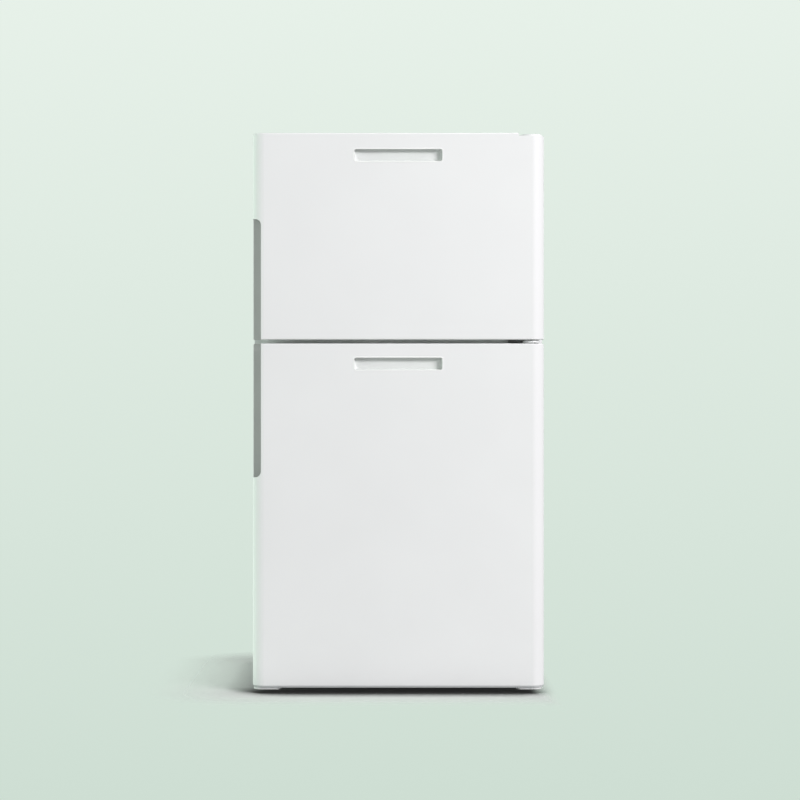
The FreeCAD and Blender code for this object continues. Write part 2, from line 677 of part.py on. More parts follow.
rail_z = (FRIDGE_Z[1] + LINER_FLANGE, FREEZER_Z[0] - LINER_FLANGE)
centre_rail = box(both_sides(OPEN_X + LINER_FLANGE), (CABINET_FRONT, CABINET_FRONT + LINER_T), rail_z)
centre_rail = drilled(centre_rail, MIDDLE_SCREWS)

foam_y = (CABINET_FRONT + LINER_T + FIT, CABINET_BACK - SHEET - FIT)
cabinet_foam = box(inside_x, foam_y, (PAN_TOP + FIT, CABINET_TOP - SHEET - FIT))
liner_wide = both_sides(OPEN_X + LINER_T + FIT)
fridge_room = box(liner_wide, (CABINET_FRONT, INNER_BACK + LINER_T + FIT), grown(FRIDGE_Z, LINER_T + FIT))
fridge_room = fridge_room.cut(box(both_sides(SIDE), (LINER_STEP_Y + LINER_T + FIT, CABINET_BACK),
                                  (0, LINER_STEP_Z - LINER_T - FIT)))
cabinet_foam = cabinet_foam.cut([
    fridge_room,
    box(liner_wide, (CABINET_FRONT, INNER_BACK + LINER_T + FIT), grown(FREEZER_Z, LINER_T + FIT)),
    box(both_sides(SIDE), (MACHINE_FRONT - FIT, CABINET_BACK), (0, MACHINE_TOP + FIT))]
    + [round_bar((side * foot_x, foot_y, 0), (0, 0, 1), BOSS_R + FIT, boss_top + STEM_SPARE + PAST)
       for side in (-1, 1)])
cabinet_foam = drilled(cabinet_foam, ALL_SCREWS)

# Table top, with a notch at its right front corner for the upper hinge
notch_left = AXIS_X - HINGE_NOSE_R - NOTCH_SIDE
notch_back = CABINET_FRONT + NOTCH_D
table_outline = [(-SIDE, CABINET_FRONT, TABLE_R), (notch_left, CABINET_FRONT, 0), (notch_left, notch_back, 0),
                 (SIDE, notch_back, 0), (SIDE, CABINET_BACK, TABLE_R), (-SIDE, CABINET_BACK, TABLE_R)]
table_z = (CABINET_TOP, CABINET_TOP + TABLE_T)
top_table = prism(table_outline, "xy", *table_z)

# Hinges
arm_x = about(AXIS_X, 2 * HINGE_NOSE_R)
arm_outline = [(arm_x[0], RISER_Y, 0), (arm_x[0], AXIS_Y - HINGE_NOSE_R, HINGE_NOSE_R),
               (arm_x[1], AXIS_Y - HINGE_NOSE_R, HINGE_NOSE_R), (arm_x[1], RISER_Y, 0)]
upper_hinge = fused([
    prism(arm_outline, "xy", *ARM_Z),
    box(arm_x, (RISER_Y, RISER_Y + HINGE_T), (CABINET_TOP, ARM_Z[1])),
    box(arm_x, (RISER_Y, RISER_Y + HINGE_BASE_L), (CABINET_TOP, CABINET_TOP + HINGE_T)),
    round_bar((AXIS_X, AXIS_Y, ARM_Z[0] - PIN_L), (0, 0, 1), PIN_R, PIN_L + HINGE_T)])
upper_hinge = drilled(upper_hinge, UPPER_SCREWS)

cover_x = (notch_left + HINGE_CLEAR, SIDE)
cover_y = (RISER_Y + HINGE_T + FIT, notch_back - HINGE_CLEAR)
upper_hinge_cover = box(cover_x, cover_y, table_z)
upper_hinge_cover = upper_hinge_cover.cut(box(grown(cover_x, -COVER_WALL),
                                              (cover_y[0] - PAST, cover_y[1] - COVER_WALL),
                                              (table_z[0] - PAST, table_z[1] - COVER_WALL)))

middle_z = about(GAP_MID, MIDDLE_T)
nose_x = about(AXIS_X, 2 * MIDDLE_NOSE_R)
nose_outline = [(nose_x[0], CABINET_FRONT, 0), (nose_x[0], AXIS_Y - MIDDLE_NOSE_R, MIDDLE_NOSE_R),
                (nose_x[1], AXIS_Y - MIDDLE_NOSE_R, MIDDLE_NOSE_R), (nose_x[1], CABINET_FRONT, 0)]
wing_y = (WING_FACE, CABINET_FRONT)
middle_hinge = fused([
    prism(nose_outline, "xy", *middle_z),
    box(WING_X, wing_y, about(GAP_MID, 2 * WING_HALF)),
    round_bar((AXIS_X, AXIS_Y, middle_z[0] - PIN_L), (0, 0, 1), PIN_R, MIDDLE_T + 2 * PIN_L)])
middle_hinge = drilled(middle_hinge, MIDDLE_SCREWS)

plate_front = FRONT + PLATE_FRONT
lower_outline = [(WING_X[0], CABINET_FRONT, 0), (WING_X[0], plate_front, PLATE_R / 2),
                 (WING_X[1], plate_front, PLATE_R), (WING_X[1], CABINET_FRONT, 0)]
lower_hinge = fused([
    prism(lower_outline, "xy", *PLATE_Z),
    box(WING_X, wing_y, LOWER_WING_Z),
    round_bar((AXIS_X, AXIS_Y, PLATE_Z[0]), (0, 0, 1), PIN_R, PLATE_T + PIN_L)])
lower_hinge = drilled(lower_hinge, LOWER_SCREWS)
bracket_outline = [(BRACKET_X[0], CABINET_FRONT, 0), (BRACKET_X[0], plate_front, PLATE_R),
                   (BRACKET_X[1], plate_front, PLATE_R / 2), (BRACKET_X[1], CABINET_FRONT, 0)]
left_foot_bracket = fused([prism(bracket_outline, "xy", *PLATE_Z), box(BRACKET_X, wing_y, LOWER_WING_Z)])
left_foot_bracket = drilled(left_foot_bracket, BRACKET_SCREWS)
screws = [screw(place, direction) for place, direction in ALL_SCREWS]

# Feet that screw up and down, and rollers at the back
feet = {}
for name, side in (("left_foot", -1), ("right_foot", 1)):
    disc = round_bar((side * foot_x, foot_y, 0), (0, 0, 1), FOOT_R, FOOT_T)
    disc = disc.makeChamfer(FOOT_CHAMFER, [edge for edge in disc.Edges if edge.CenterOfMass.z > FOOT_T - FIT])
    stem_l = boss_top + STEM_SPARE - FOOT_T
    feet[name] = fused([disc, round_bar((side * foot_x, foot_y, FOOT_T), (0, 0, 1), STEM_R, stem_l)])

roller_y = CABINET_BACK - ROLLER_FROM_BACK
fork_half_x = ROLLER_W / 2 + FORK_ROOM
rollers = {}
forks = []
for name, side in (("left_roller", -1), ("right_roller", 1)):
    middle = side * (SIDE - ROLLER_INSET)
    wheel = round_bar((middle - ROLLER_W / 2, roller_y, ROLLER_R), (1, 0, 0), ROLLER_R, ROLLER_W)
    rollers[name] = wheel.cut(round_bar((middle - ROLLER_W, roller_y, ROLLER_R), (1, 0, 0),
                                        AXLE_R + PIN_PLAY, 2 * ROLLER_W))
    wide = (middle - fork_half_x - FORK_T, middle + fork_half_x + FORK_T)
    long = (roller_y - FORK_HALF, roller_y + FORK_HALF)
    fork = box(wide, long, (ROLLER_R - AXLE_R - FORK_T, CABINET_FLOOR))
    fork = fork.cut(box((middle - fork_half_x, middle + fork_half_x), grown(long, PAST),
                        (0, 2 * ROLLER_R + FORK_ROOM)))
    axle = round_bar((wide[0], roller_y, ROLLER_R), (1, 0, 0), AXLE_R, wide[1] - wide[0])
    forks.append(fused([fork, axle]))

# Compressor on its rubber mounts, with its relay box: a pot with a spherical crown
crown = COMPRESSOR_Z + COMPRESSOR_H
wall_top = crown - DOME_H
dome_r = (COMPRESSOR_R ** 2 + DOME_H ** 2) / (2 * DOME_H)
dome_half = math.asin(COMPRESSOR_R / dome_r) / 2
half_line = Part.Wire([
    Part.makeLine(point(0, 0, COMPRESSOR_Z), point(BELLY_R, 0, COMPRESSOR_Z)),
    Part.makeLine(point(BELLY_R, 0, COMPRESSOR_Z), point(COMPRESSOR_R, 0, COMPRESSOR_Z + BELLY_H)),
    Part.makeLine(point(COMPRESSOR_R, 0, COMPRESSOR_Z + BELLY_H), point(COMPRESSOR_R, 0, wall_top)),
    Part.Arc(point(COMPRESSOR_R, 0, wall_top),
             point(dome_r * math.sin(dome_half), 0, crown - dome_r + dome_r * math.cos(dome_half)),
             point(0, 0, crown)).toShape(),
    Part.makeLine(point(0, 0, crown), point(0, 0, COMPRESSOR_Z))])
body = Part.Face(half_line).revolve(point(0, 0, 0), point(0, 0, 1), 360)
body.translate(point(COMPRESSOR_X, COMPRESSOR_Y, 0))
sole_x = about(COMPRESSOR_X, SOLE_W)
sole_y = about(COMPRESSOR_Y, SOLE_D)
sole = prism(rectangle(sole_x, sole_y, MOUNT_EDGE), "xy", SOLE_Z, COMPRESSOR_Z)
compressor = fused([body, sole])
mounts = [round_bar((x, y, PAN_TOP), (0, 0, 1), MOUNT_R, MOUNT_H)
          for x in grown(sole_x, -MOUNT_EDGE) for y in grown(sole_y, -MOUNT_EDGE)]
relay_x = (COMPRESSOR_X - COMPRESSOR_R - RELAY_W, COMPRESSOR_X)
relay_box = box(relay_x, about(COMPRESSOR_Y, RELAY_D), (RELAY_Z, RELAY_Z + RELAY_H))
relay_box = relay_box.cut(round_bar((COMPRESSOR_X, COMPRESSOR_Y, 0), (0, 0, 1), COMPRESSOR_R + FIT,
                                    MACHINE_TOP))

# Condenser: one tube folded to and fro, standing on the pan
coil_y = MACHINE_FRONT + COIL_SETBACK
coil_left = -SIDE + COIL_SIDE
run_x = sole_x[0] - PIPE_CLEAR - PIPE_R
coil_right = run_x - PIPE_RUN
coil_low = PAN_TOP + SLIDE + COIL_R
coil_points = []
for run in range(COIL_RUNS):
    ends = (coil_right, coil_left) if run % 2 == 0 else (coil_left, coil_right)
    coil_points += [point(x, coil_y, coil_low + run * COIL_PITCH) for x in ends]
condenser_coil = tube(coil_points, COIL_R, COIL_PITCH / 2)

# Pipes: compressor to coil, coil to drier, drier and compressor up through the roof
coil_high = coil_points[-1].z
roof = MACHINE_TOP - PAN_T - FIT
drier_y = MACHINE_FRONT + PAN_T + DRIER_SETBACK
discharge = tube([point(coil_right + FIT, coil_y, coil_high), point(run_x, coil_y, coil_high),
                  point(run_x, COMPRESSOR_Y, DISCHARGE_Z),
                  point(COMPRESSOR_X - COMPRESSOR_R - FIT, COMPRESSOR_Y, DISCHARGE_Z)], PIPE_R, PIPE_BEND)
liquid = tube([point(coil_right + FIT, coil_y, coil_low + PIPE_R - COIL_R),
               point(run_x, coil_y, coil_low + PIPE_R - COIL_R),
               point(run_x, drier_y, coil_low + PIPE_R - COIL_R), point(run_x, drier_y, DRIER_Z - FIT)],
              PIPE_R, PIPE_BEND)
capillary_low = DRIER_Z + DRIER_L + FIT
capillary = round_bar((run_x, drier_y, capillary_low), (0, 0, 1), CAPILLARY_R, roof - capillary_low)
suction = round_bar((COMPRESSOR_X, COMPRESSOR_Y, crown + FIT), (0, 0, 1), SUCTION_R, roof - crown - FIT)
copper_pipes = [discharge, liquid, capillary, suction]
filter_drier = fused([
    round_bar((run_x, drier_y, DRIER_Z + DRIER_R), (0, 0, 1), DRIER_R, DRIER_L - 2 * DRIER_R),
    Part.makeCone(PIPE_R, DRIER_R, DRIER_R, point(run_x, drier_y, DRIER_Z)),
    Part.makeCone(DRIER_R, PIPE_R, DRIER_R, point(run_x, drier_y, DRIER_Z + DRIER_L - DRIER_R))])

tray_x = (-SIDE + SHEET + TRAY_SIDE, -SIDE + SHEET + TRAY_SIDE + TRAY_W)
tray_y = (MACHINE_FRONT + PAN_T, MACHINE_FRONT + PAN_T + TRAY_D)
drip_tray = box(tray_x, tray_y, (TRAY_Z, TRAY_Z + TRAY_H))
drip_tray = drip_tray.cut(box(grown(tray_x, -TRAY_WALL), grown(tray_y, -TRAY_WALL),
                              (TRAY_Z + TRAY_WALL, TRAY_Z + TRAY_H + PAST)))

# Louvred cover over the machine room, the spacers and the cord's gland
cover_span = (PAN_TOP, panel_low - FIT)
cover_face = (CABINET_BACK - COVER_T, CABINET_BACK)
machine_cover = box(inside_x, cover_face, cover_span)
louvre_low = sum(cover_span) / 2 - (LOUVRE_ROWS - 1) * LOUVRE_PITCH / 2
louvres = []
for row in range(LOUVRE_ROWS):
    for side in (-1, 1):
        across = about(side * (LOUVRE_W + LOUVRE_GAP) / 2, LOUVRE_W)
        level = about(louvre_low + row * LOUVRE_PITCH, LOUVRE_H)
        louvres.append(prism(rectangle(across, level, LOUVRE_H / 2 - FIT), "xz", *grown(cover_face, PAST)))
machine_cover = machine_cover.cut(louvres)
bumpers = [round_bar((side * (SIDE - BUMPER_INSET), CABINET_BACK, z), (0, 1, 0), BUMPER_R, BUMPER)
           for side in (-1, 1) for z in (MACHINE_TOP + BUMPER_MARGIN, CABINET_TOP - BUMPER_MARGIN)]
gland_x = -SIDE + GLAND_INSET
cord_gland = fused([round_bar((gland_x, CABINET_BACK, GLAND_Z), (0, 1, 0), GLAND_R, GLAND_T),
                    round_bar((gland_x, CABINET_BACK, GLAND_Z), (0, 1, 0), GLAND_NECK_R, BUMPER)])
cord_gland = cord_gland.cut(round_bar((gland_x, CABINET_BACK + BUMPER - GLAND_BORE_L, GLAND_Z), (0, 1, 0),
                                      GLAND_BORE_R, GLAND_BORE_L + PAST))

# Freezer: evaporator and fan behind the duct cover, a shelf and a drawer in front
fin_x = both_sides(EVAPORATOR_W / 2)
fin_y = (INNER_BACK - EVAPORATOR_D, INNER_BACK)
fin_z = (FREEZER_Z[0] + EVAPORATOR_RAISE, FREEZER_Z[0] + EVAPORATOR_RAISE + EVAPORATOR_H)
fin_pitch = (EVAPORATOR_W - FIN_T) / (FIN_COUNT - 1)
fin_starts = [fin_x[0] + i * fin_pitch for i in range(FIN_COUNT)]
fins = [box((x, x + FIN_T), fin_y, fin_z) for x in fin_starts]
row_pitch = EVAPORATOR_H / EVAPORATOR_ROWS
runs = [round_bar((fin_x[0] - row_pitch / 2, sum(fin_y) / 2, fin_z[0] + (row + 0.5) * row_pitch), (1, 0, 0),
                  EVAPORATOR_TUBE_R, EVAPORATOR_W + row_pitch) for row in range(EVAPORATOR_ROWS)]
evaporator = fused(fins + runs)

duct_face = (DUCT_Y, DUCT_Y + DUCT_T)
duct_cover = prism(rectangle(both_sides(OPEN_X - SLIDE), grown(FREEZER_Z, -SLIDE), LINER_R), "xz", *duct_face)
duct_cuts = []
for bar in range(GRILLE_BARS):
    level = (bar - (GRILLE_BARS - 1) / 2) * GRILLE_PITCH
    half = math.sqrt(FAN_R ** 2 - level ** 2) if abs(level) < FAN_R else 0
    duct_cuts.append(prism(rectangle(both_sides(half), about(FAN_Z + level, GRILLE_H), GRILLE_H / 2 - FIT),
                           "xz", *grown(duct_face, PAST)))
for slot in range(RETURN_SLOTS):
    across = about((slot - (RETURN_SLOTS - 1) / 2) * RETURN_PITCH, RETURN_W)
    low = FREEZER_Z[0] + RETURN_RAISE
    duct_cuts.append(prism(rectangle(across, (low, low + RETURN_H), RETURN_W / 2 - FIT), "xz",
                           *grown(duct_face, PAST)))
duct_cover = duct_cover.cut(duct_cuts)

hub_y = DUCT_Y + DUCT_T + FAN_GAP
motor_y = INNER_BACK - MOTOR_L
fan_motor = fused([round_bar((0, motor_y, FAN_Z), (0, 1, 0), MOTOR_R, MOTOR_L),
                   round_bar((0, hub_y + FAN_HUB_L / 4, FAN_Z), (0, 1, 0), SHAFT_R, motor_y - hub_y)])
blades = []
for i in range(FAN_BLADES):
    blade = box((-FAN_HUB_R / 2, FAN_HUB_R / 2 + SHAFT_R), (-FAN_BLADE_T / 2, FAN_BLADE_T / 2),
                (FAN_HUB_R / 2, FAN_R - SHAFT_R))
    blade.rotate(point(0, 0, 0), point(0, 0, 1), FAN_PITCH)
    blade.rotate(point(0, 0, 0), point(0, 1, 0), i * 360 / FAN_BLADES)
    blade.translate(point(0, hub_y + FAN_HUB_L / 2, FAN_Z))
    blades.append(blade)
hub = round_bar((0, hub_y, FAN_Z), (0, 1, 0), FAN_HUB_R, FAN_HUB_L)
fan = fused([hub] + blades).cut(round_bar((0, hub_y + FAN_HUB_L / 4 - SLIDE, FAN_Z), (0, 1, 0),
                                          SHAFT_R + PIN_PLAY, FAN_HUB_L))

freezer_shelf = box(both_sides(OPEN_X - GLASS_SIDE), (FREEZER_FRONT, DUCT_Y),
                    (FREEZER_SHELF_Z, FREEZER_SHELF_Z + FREEZER_SHELF_T))
shelf_cuts = []
slot_y = (FREEZER_FRONT + SHELF_RIM, DUCT_Y - SHELF_RIM)
for slot in range(SHELF_SLOTS):
    across = about((slot - (SHELF_SLOTS - 1) / 2) * SHELF_SLOT_PITCH, SHELF_SLOT_W)
    shelf_cuts.append(prism(rectangle(across, slot_y, SHELF_SLOT_W / 2 - FIT), "xy", FREEZER_SHELF_Z - PAST,
                            FREEZER_SHELF_Z + FREEZER_SHELF_T + PAST))
freezer_shelf = freezer_shelf.cut(shelf_cuts)
freezer_drawer = drawer(OPEN_X - DRAWER_SIDE, (FREEZER_FRONT, DUCT_Y - DRAWER_BACK_GAP),
                        (FREEZER_Z[0] + SLIDE, FREEZER_Z[0] + SLIDE + DRAWER_H))

# Fridge: glass shelves with trims, crisper, thermostat and lamp box, door switch
glass_half = OPEN_X - GLASS_SIDE
glass_levels = [(LINER_STEP_Z, LINER_STEP_Y + CRISPER_GLASS_BEAR)] + [(top, ledge_back) for top in shelf_tops]
glass_shelves = []
shelf_trims = []
for level, back in glass_levels:
    glass = box(both_sides(glass_half), (SHELF_FRONT, back), (level, level + GLASS_T))
    trim = box(both_sides(OPEN_X - LEDGE - SLIDE), (SHELF_FRONT - TRIM_FRONT, SHELF_FRONT + TRIM_LAP),
               (level - TRIM_T, level + GLASS_T + TRIM_T))
    glass_shelves.append(glass)
    shelf_trims.append(trim.cut(glass))
crisper_drawer = drawer(OPEN_X - CRISPER_SIDE, (SHELF_FRONT, LINER_STEP_Y - CRISPER_BACK_GAP),
                        (FRIDGE_Z[0] + SLIDE, LINER_STEP_Z - CRISPER_TOP_GAP))

ceiling = FRIDGE_Z[1]
control_x = both_sides(CONTROL_W / 2)
control_y = (INNER_BACK - CONTROL_BACK_GAP - CONTROL_D, INNER_BACK - CONTROL_BACK_GAP)
control_z = (ceiling - CONTROL_H, ceiling)
control_mid = sum(control_z) / 2
control_box = prism(rectangle(control_x, control_y, CONTROL_R), "xy", *control_z)
lens_x = about(LENS_X, LENS_W)
lens_z = about(control_mid, LENS_H)
window = rectangle(grown(lens_x, -LENS_T), grown(lens_z, -LENS_T))
wall_face = (control_y[0], control_y[0] + CONTROL_WALL)
control_room = rectangle(grown(control_x, -CONTROL_WALL), grown(control_y, -CONTROL_WALL),
                         CONTROL_R - CONTROL_WALL)
control_box = control_box.cut([
    prism(control_room, "xy", control_z[0] + CONTROL_WALL, control_z[1] + PAST),
    prism(window, "xz", *grown(wall_face, PAST)),
    round_bar((DIAL_X, wall_face[0] - PAST, control_mid), (0, 1, 0), SHAFT_R + PIN_PLAY,
              CONTROL_WALL + 2 * PAST)])
lens_outline = rectangle(lens_x, lens_z, LENS_R)
lamp_lens = prism(lens_outline, "xz", control_y[0] - LENS_T, control_y[0])
dial_back = control_y[0] - SLIDE
knob = round_bar((DIAL_X, dial_back - DIAL_L, control_mid), (0, 1, 0), DIAL_R, DIAL_L)
dial_face = dial_back - DIAL_L
groove = box(about(DIAL_X, DIAL_GROOVE), (dial_face - PAST, dial_face + DIAL_GROOVE),
             (control_mid, control_mid + DIAL_R))
stalk = round_bar((DIAL_X, dial_back - PAST, control_mid), (0, 1, 0), SHAFT_R,
                  PAST + SLIDE + 2 * CONTROL_WALL)
temperature_dial = fused([knob.cut(groove), stalk])

switch_x = OPEN_X - SWITCH_INSET
switch_y = DIKE_TIP + SWITCH_SETBACK
plunger_z = ceiling - SWITCH_H / 2
switch_housing = box(about(switch_x, SWITCH_W), (switch_y, switch_y + SWITCH_L),
                     (ceiling - SWITCH_H, ceiling))
switch_housing = switch_housing.cut(round_bar((switch_x, switch_y - PAST, plunger_z), (0, 1, 0),
                                              PLUNGER_R + PIN_PLAY, PLUNGER_BORE_L + PAST))
switch_plunger = round_bar((switch_x, DIKE_TIP + SLIDE, plunger_z), (0, 1, 0), PLUNGER_R, PLUNGER_L)

# Doors
upper = make_door(UPPER_Z, FREEZER_Z, UPPER_SLOT_DROP, UPPER_Z[0] + UPPER_GRIP_L, UPPER_Z[0], True, False)
lower = make_door(LOWER_Z, FRIDGE_Z, LOWER_SLOT_DROP, LOWER_Z[1] - LOWER_GRIP_L, LOWER_Z[1], False, True)

# The flat field inside the freezer door's rim is a sheet of its own, set edge to edge into the formed part
inside_rim = DIKE_CLEAR + DIKE_W + DIKE_R
field_x = both_sides(OPEN_X - inside_rim)
field_y = (PANEL_FRONT, DOOR_BACK)
field_z = grown(FREEZER_Z, -inside_rim)
formed = upper["liner"].cut(box(field_x, grown(field_y, PAST), field_z))
field = box(grown(field_x, -FIT), field_y, grown(field_z, -FIT))
upper["liner"] = Part.makeCompound([formed, field])

door_bins = [door_bin(floor, BIN_H, BIN_DEPTH) for floor in (TOP_BIN_Z - BIN_PITCH, TOP_BIN_Z)]

nodes = {
    "outer_shell": outer_shell, "back_panel": back_panel, "base_pan": base_pan, "cabinet_foam": cabinet_foam,
    "freezer_liner": freezer_liner, "fridge_liner": fridge_liner, "centre_rail": centre_rail,
    "top_table": top_table, "upper_hinge": upper_hinge, "upper_hinge_cover": upper_hinge_cover,
    "middle_hinge": middle_hinge, "lower_hinge": lower_hinge, "left_foot_bracket": left_foot_bracket,
    "screws": Part.makeCompound(screws), "compressor": compressor,
    "compressor_mounts": Part.makeCompound(mounts), "relay_box": relay_box, "condenser_coil": condenser_coil,
    "copper_pipes": Part.makeCompound(copper_pipes), "filter_drier": filter_drier, "drip_tray": drip_tray,
    "machine_cover": machine_cover, "rear_bumpers": Part.makeCompound(bumpers), "cord_gland": cord_gland,
    "evaporator": evaporator, "duct_cover": duct_cover, "fan_motor": fan_motor, "fan": fan,
    "control_box": control_box, "lamp_lens": lamp_lens, "temperature_dial": temperature_dial,
    "switch_housing": switch_housing, "switch_plunger": switch_plunger,
    "glass_shelves": Part.makeCompound(glass_shelves), "shelf_trims": Part.makeCompound(shelf_trims),
    "freezer_shelf": freezer_shelf, "freezer_drawer": freezer_drawer, "crisper_drawer": crisper_drawer,
    "roller_brackets": Part.makeCompound(forks),
    "upper_door_pocket": door_bin(POCKET_Z, POCKET_H, POCKET_DEPTH),
    "lower_door_pockets": Part.makeCompound(door_bins),
    "bottle_rack": door_bin(RACK_Z, RACK_H, RACK_DEPTH)}
nodes.update(feet)
nodes.update(rollers)
for name, door in (("upper", upper), ("lower", lower)):
    for piece in ("skin", "end_caps", "foam", "liner", "gasket"):
        nodes[name + "_door_" + piece] = door[piece]
    nodes[name + "_handle_cup"] = door["cup"]
    nodes[name + "_side_grip"] = door["grip"]

os.makedirs("parts", exist_ok=True)
for name, shape in nodes.items():
    shape.exportStep("parts/" + name + ".step")
    print(name, len(shape.Solids), shape.isValid(), round(shape.Volume))
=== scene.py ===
import json
import math

import bmesh
import bpy
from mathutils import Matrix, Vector

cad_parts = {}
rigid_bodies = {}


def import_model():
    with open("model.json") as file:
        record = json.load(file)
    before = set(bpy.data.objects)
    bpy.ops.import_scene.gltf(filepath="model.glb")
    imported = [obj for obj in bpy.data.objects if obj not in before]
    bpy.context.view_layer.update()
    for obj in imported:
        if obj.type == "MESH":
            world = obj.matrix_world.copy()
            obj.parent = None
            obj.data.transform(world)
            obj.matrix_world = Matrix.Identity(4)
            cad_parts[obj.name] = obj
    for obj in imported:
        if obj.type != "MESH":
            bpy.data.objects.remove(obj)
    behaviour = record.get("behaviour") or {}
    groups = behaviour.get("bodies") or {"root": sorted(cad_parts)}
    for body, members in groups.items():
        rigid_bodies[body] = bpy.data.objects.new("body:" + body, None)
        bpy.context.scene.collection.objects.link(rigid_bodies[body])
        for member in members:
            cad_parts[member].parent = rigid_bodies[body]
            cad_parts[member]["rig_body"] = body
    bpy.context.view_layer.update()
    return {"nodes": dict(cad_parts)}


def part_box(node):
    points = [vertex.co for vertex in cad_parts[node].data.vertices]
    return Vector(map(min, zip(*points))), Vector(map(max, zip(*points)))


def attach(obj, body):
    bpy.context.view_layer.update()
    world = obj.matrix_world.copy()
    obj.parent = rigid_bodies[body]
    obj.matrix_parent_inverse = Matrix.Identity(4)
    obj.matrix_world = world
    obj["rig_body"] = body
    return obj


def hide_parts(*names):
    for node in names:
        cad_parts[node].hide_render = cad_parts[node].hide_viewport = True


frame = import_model()

# Outer shell and centre rail: pre-painted sheet steel, folded round the cabinet's sides and top, with a pressed
# rail of the same sheet across the front between the two compartments. The folds are soft, not knife sharp.
MM = 0.001         # sizes are in millimetres, and the studio's in metres
FOLD_EASE = 0.4
CREASE = 40        # degrees: edges that bend more are rounded
FLAT = 0.5         # degrees: faces that bend less are one face
WELD = 0.001
SLIVER = 0.025     # rounding leaves no face thinner than this
WIDE = 4           # a wall this many times as wide as its rounding is a wide one
EASE_STEPS, ROLL_STEPS, CORNER_STEPS = 3, 4, 5
NOISE = (0.3, 0.7)  # most values of a noise lie between these
FACTOR, TINT_A, TINT_B, TINT = 0, 6, 7, 2  # sockets of a Mix node for colours


def linear(colour):
    """An sRGB hex colour as the linear colour that a socket takes."""
    parts = [int(colour[i:i + 2], 16) / 255 for i in (1, 3, 5)]
    return [*(c / 12.92 if c <= 0.04045 else ((c + 0.055) / 1.055) ** 2.4 for c in parts), 1.0]


def add(tree, kind, inputs, **settings):
    """Adds one shader node with its settings, fills or links its inputs, and gives back its outputs."""
    made = tree.nodes.new("ShaderNode" + kind)
    for name, value in settings.items():
        setattr(made, name, value)
    for name, value in inputs.items():
        if isinstance(value, bpy.types.NodeSocket):
            tree.links.new(value, made.inputs[name])
        else:
            made.inputs[name].default_value = value
    return made.outputs


def new_material(name):
    """An empty material, its node tree, and the place on the object in metres."""
    material = bpy.data.materials.new(name)
    material.use_nodes = True
    material.node_tree.nodes.clear()
    return material, material.node_tree, add(material.node_tree, "TexCoord", {})["Object"]


def surface(name, pale, deep, drift, grain, relief, rough, shader, stretch=(1, 1, 1)):
    """A finish whose tone drifts over some millimetres, and whose fine grain gives relief and breaks the gloss."""
    material, tree, place = new_material(name)
    along = add(tree, "Mapping", {"Vector": place, "Scale": stretch})[0]
    cloud = add(tree, "TexNoise", {"Vector": place, "Scale": 1 / (drift * MM), "Detail": 2.0})[0]
    fine = add(tree, "TexNoise", {"Vector": along, "Scale": 1 / (grain * MM), "Detail": 1.0})[0]
    share = add(tree, "MapRange", {"Value": cloud, "From Min": NOISE[0], "From Max": NOISE[1]})[0]
    tone = add(tree, "Mix", {FACTOR: share, TINT_A: linear(deep), TINT_B: linear(pale)}, data_type="RGBA")[TINT]
    gloss = add(tree, "MapRange", {"Value": fine, "From Min": NOISE[0], "From Max": NOISE[1],
                                   "To Min": rough[0], "To Max": rough[1]})[0]
    bump = add(tree, "Bump", {"Height": fine, "Distance": relief * MM})[0]
    skin = add(tree, "BsdfPrincipled", {"Base Color": tone, "Roughness": gloss, "Normal": bump, **shader})[0]
    add(tree, "OutputMaterial", {"Surface": skin})
    return material


def piece(name, shape, material, node, instead=True, sharp=35):
    """Makes a mesh into a smooth piece that rides with a CAD node, has its finish, and may stand instead of it."""
    bmesh.ops.recalc_face_normals(shape, faces=shape.faces)
    mesh = bpy.data.meshes.new(name)
    shape.to_mesh(mesh)
    shape.free()
    mesh.shade_smooth()
    mesh.set_sharp_from_angle(angle=math.radians(sharp))
    mesh.materials.append(material)
    made = bpy.data.objects.new(name, mesh)
    bpy.context.scene.collection.objects.link(made)
    made.modifiers.new("even_shading", "WEIGHTED_NORMAL").keep_sharp = True
    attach(made, frame["nodes"][node]["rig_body"])
    if instead:
        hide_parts(node)
    return made


def eased(node, ease, material, broad=0.0, roll=0.0, rolled=()):
    """A copy of a CAD node with rounded edges: those in given boxes first, then between wide walls, then all."""
    shape = bmesh.new()
    shape.from_mesh(frame["nodes"][node].data)
    bmesh.ops.remove_doubles(shape, verts=shape.verts, dist=WELD * MM)
    bmesh.ops.dissolve_limit(shape, angle_limit=math.radians(FLAT), verts=shape.verts, edges=shape.edges)

    def soften(size, steps, fits):
        edges = [e for e in shape.edges
                 if e.is_manifold and e.calc_face_angle() > math.radians(CREASE) and fits(e)]
        bmesh.ops.bevel(shape, geom=edges, offset=size * MM, segments=steps, profile=0.5, affect="EDGES",
                        clamp_overlap=True)
        bmesh.ops.dissolve_degenerate(shape, dist=SLIVER * MM, edges=shape.edges)

    for low, high in rolled:
        soften(roll, ROLL_STEPS,
               lambda e: all(a < c / MM < b for v in e.verts for a, c, b in zip(low, v.co, high)))
    if broad:
        soften(broad, CORNER_STEPS,
               lambda e: all(f.calc_area() > WIDE * broad * MM * e.calc_length() for f in e.link_faces))
    soften(ease, EASE_STEPS, lambda e: True)
    return piece(node + "_rounded", shape, material, node)


# Polyester paint on steel, rolled on and baked: a cool white with a soft sheen. Its orange peel is about 2 mm
# across and very shallow, so that only highlights waver.
enamel = surface("baked_white_enamel", "#EFF0F0", "#EDEEEE", drift=160, grain=2.2, relief=0.006,
                 rough=(0.52, 0.58), shader={"IOR": 1.5})
for sheet in ("outer_shell", "centre_rail"):
    eased(sheet, FOLD_EASE, enamel)

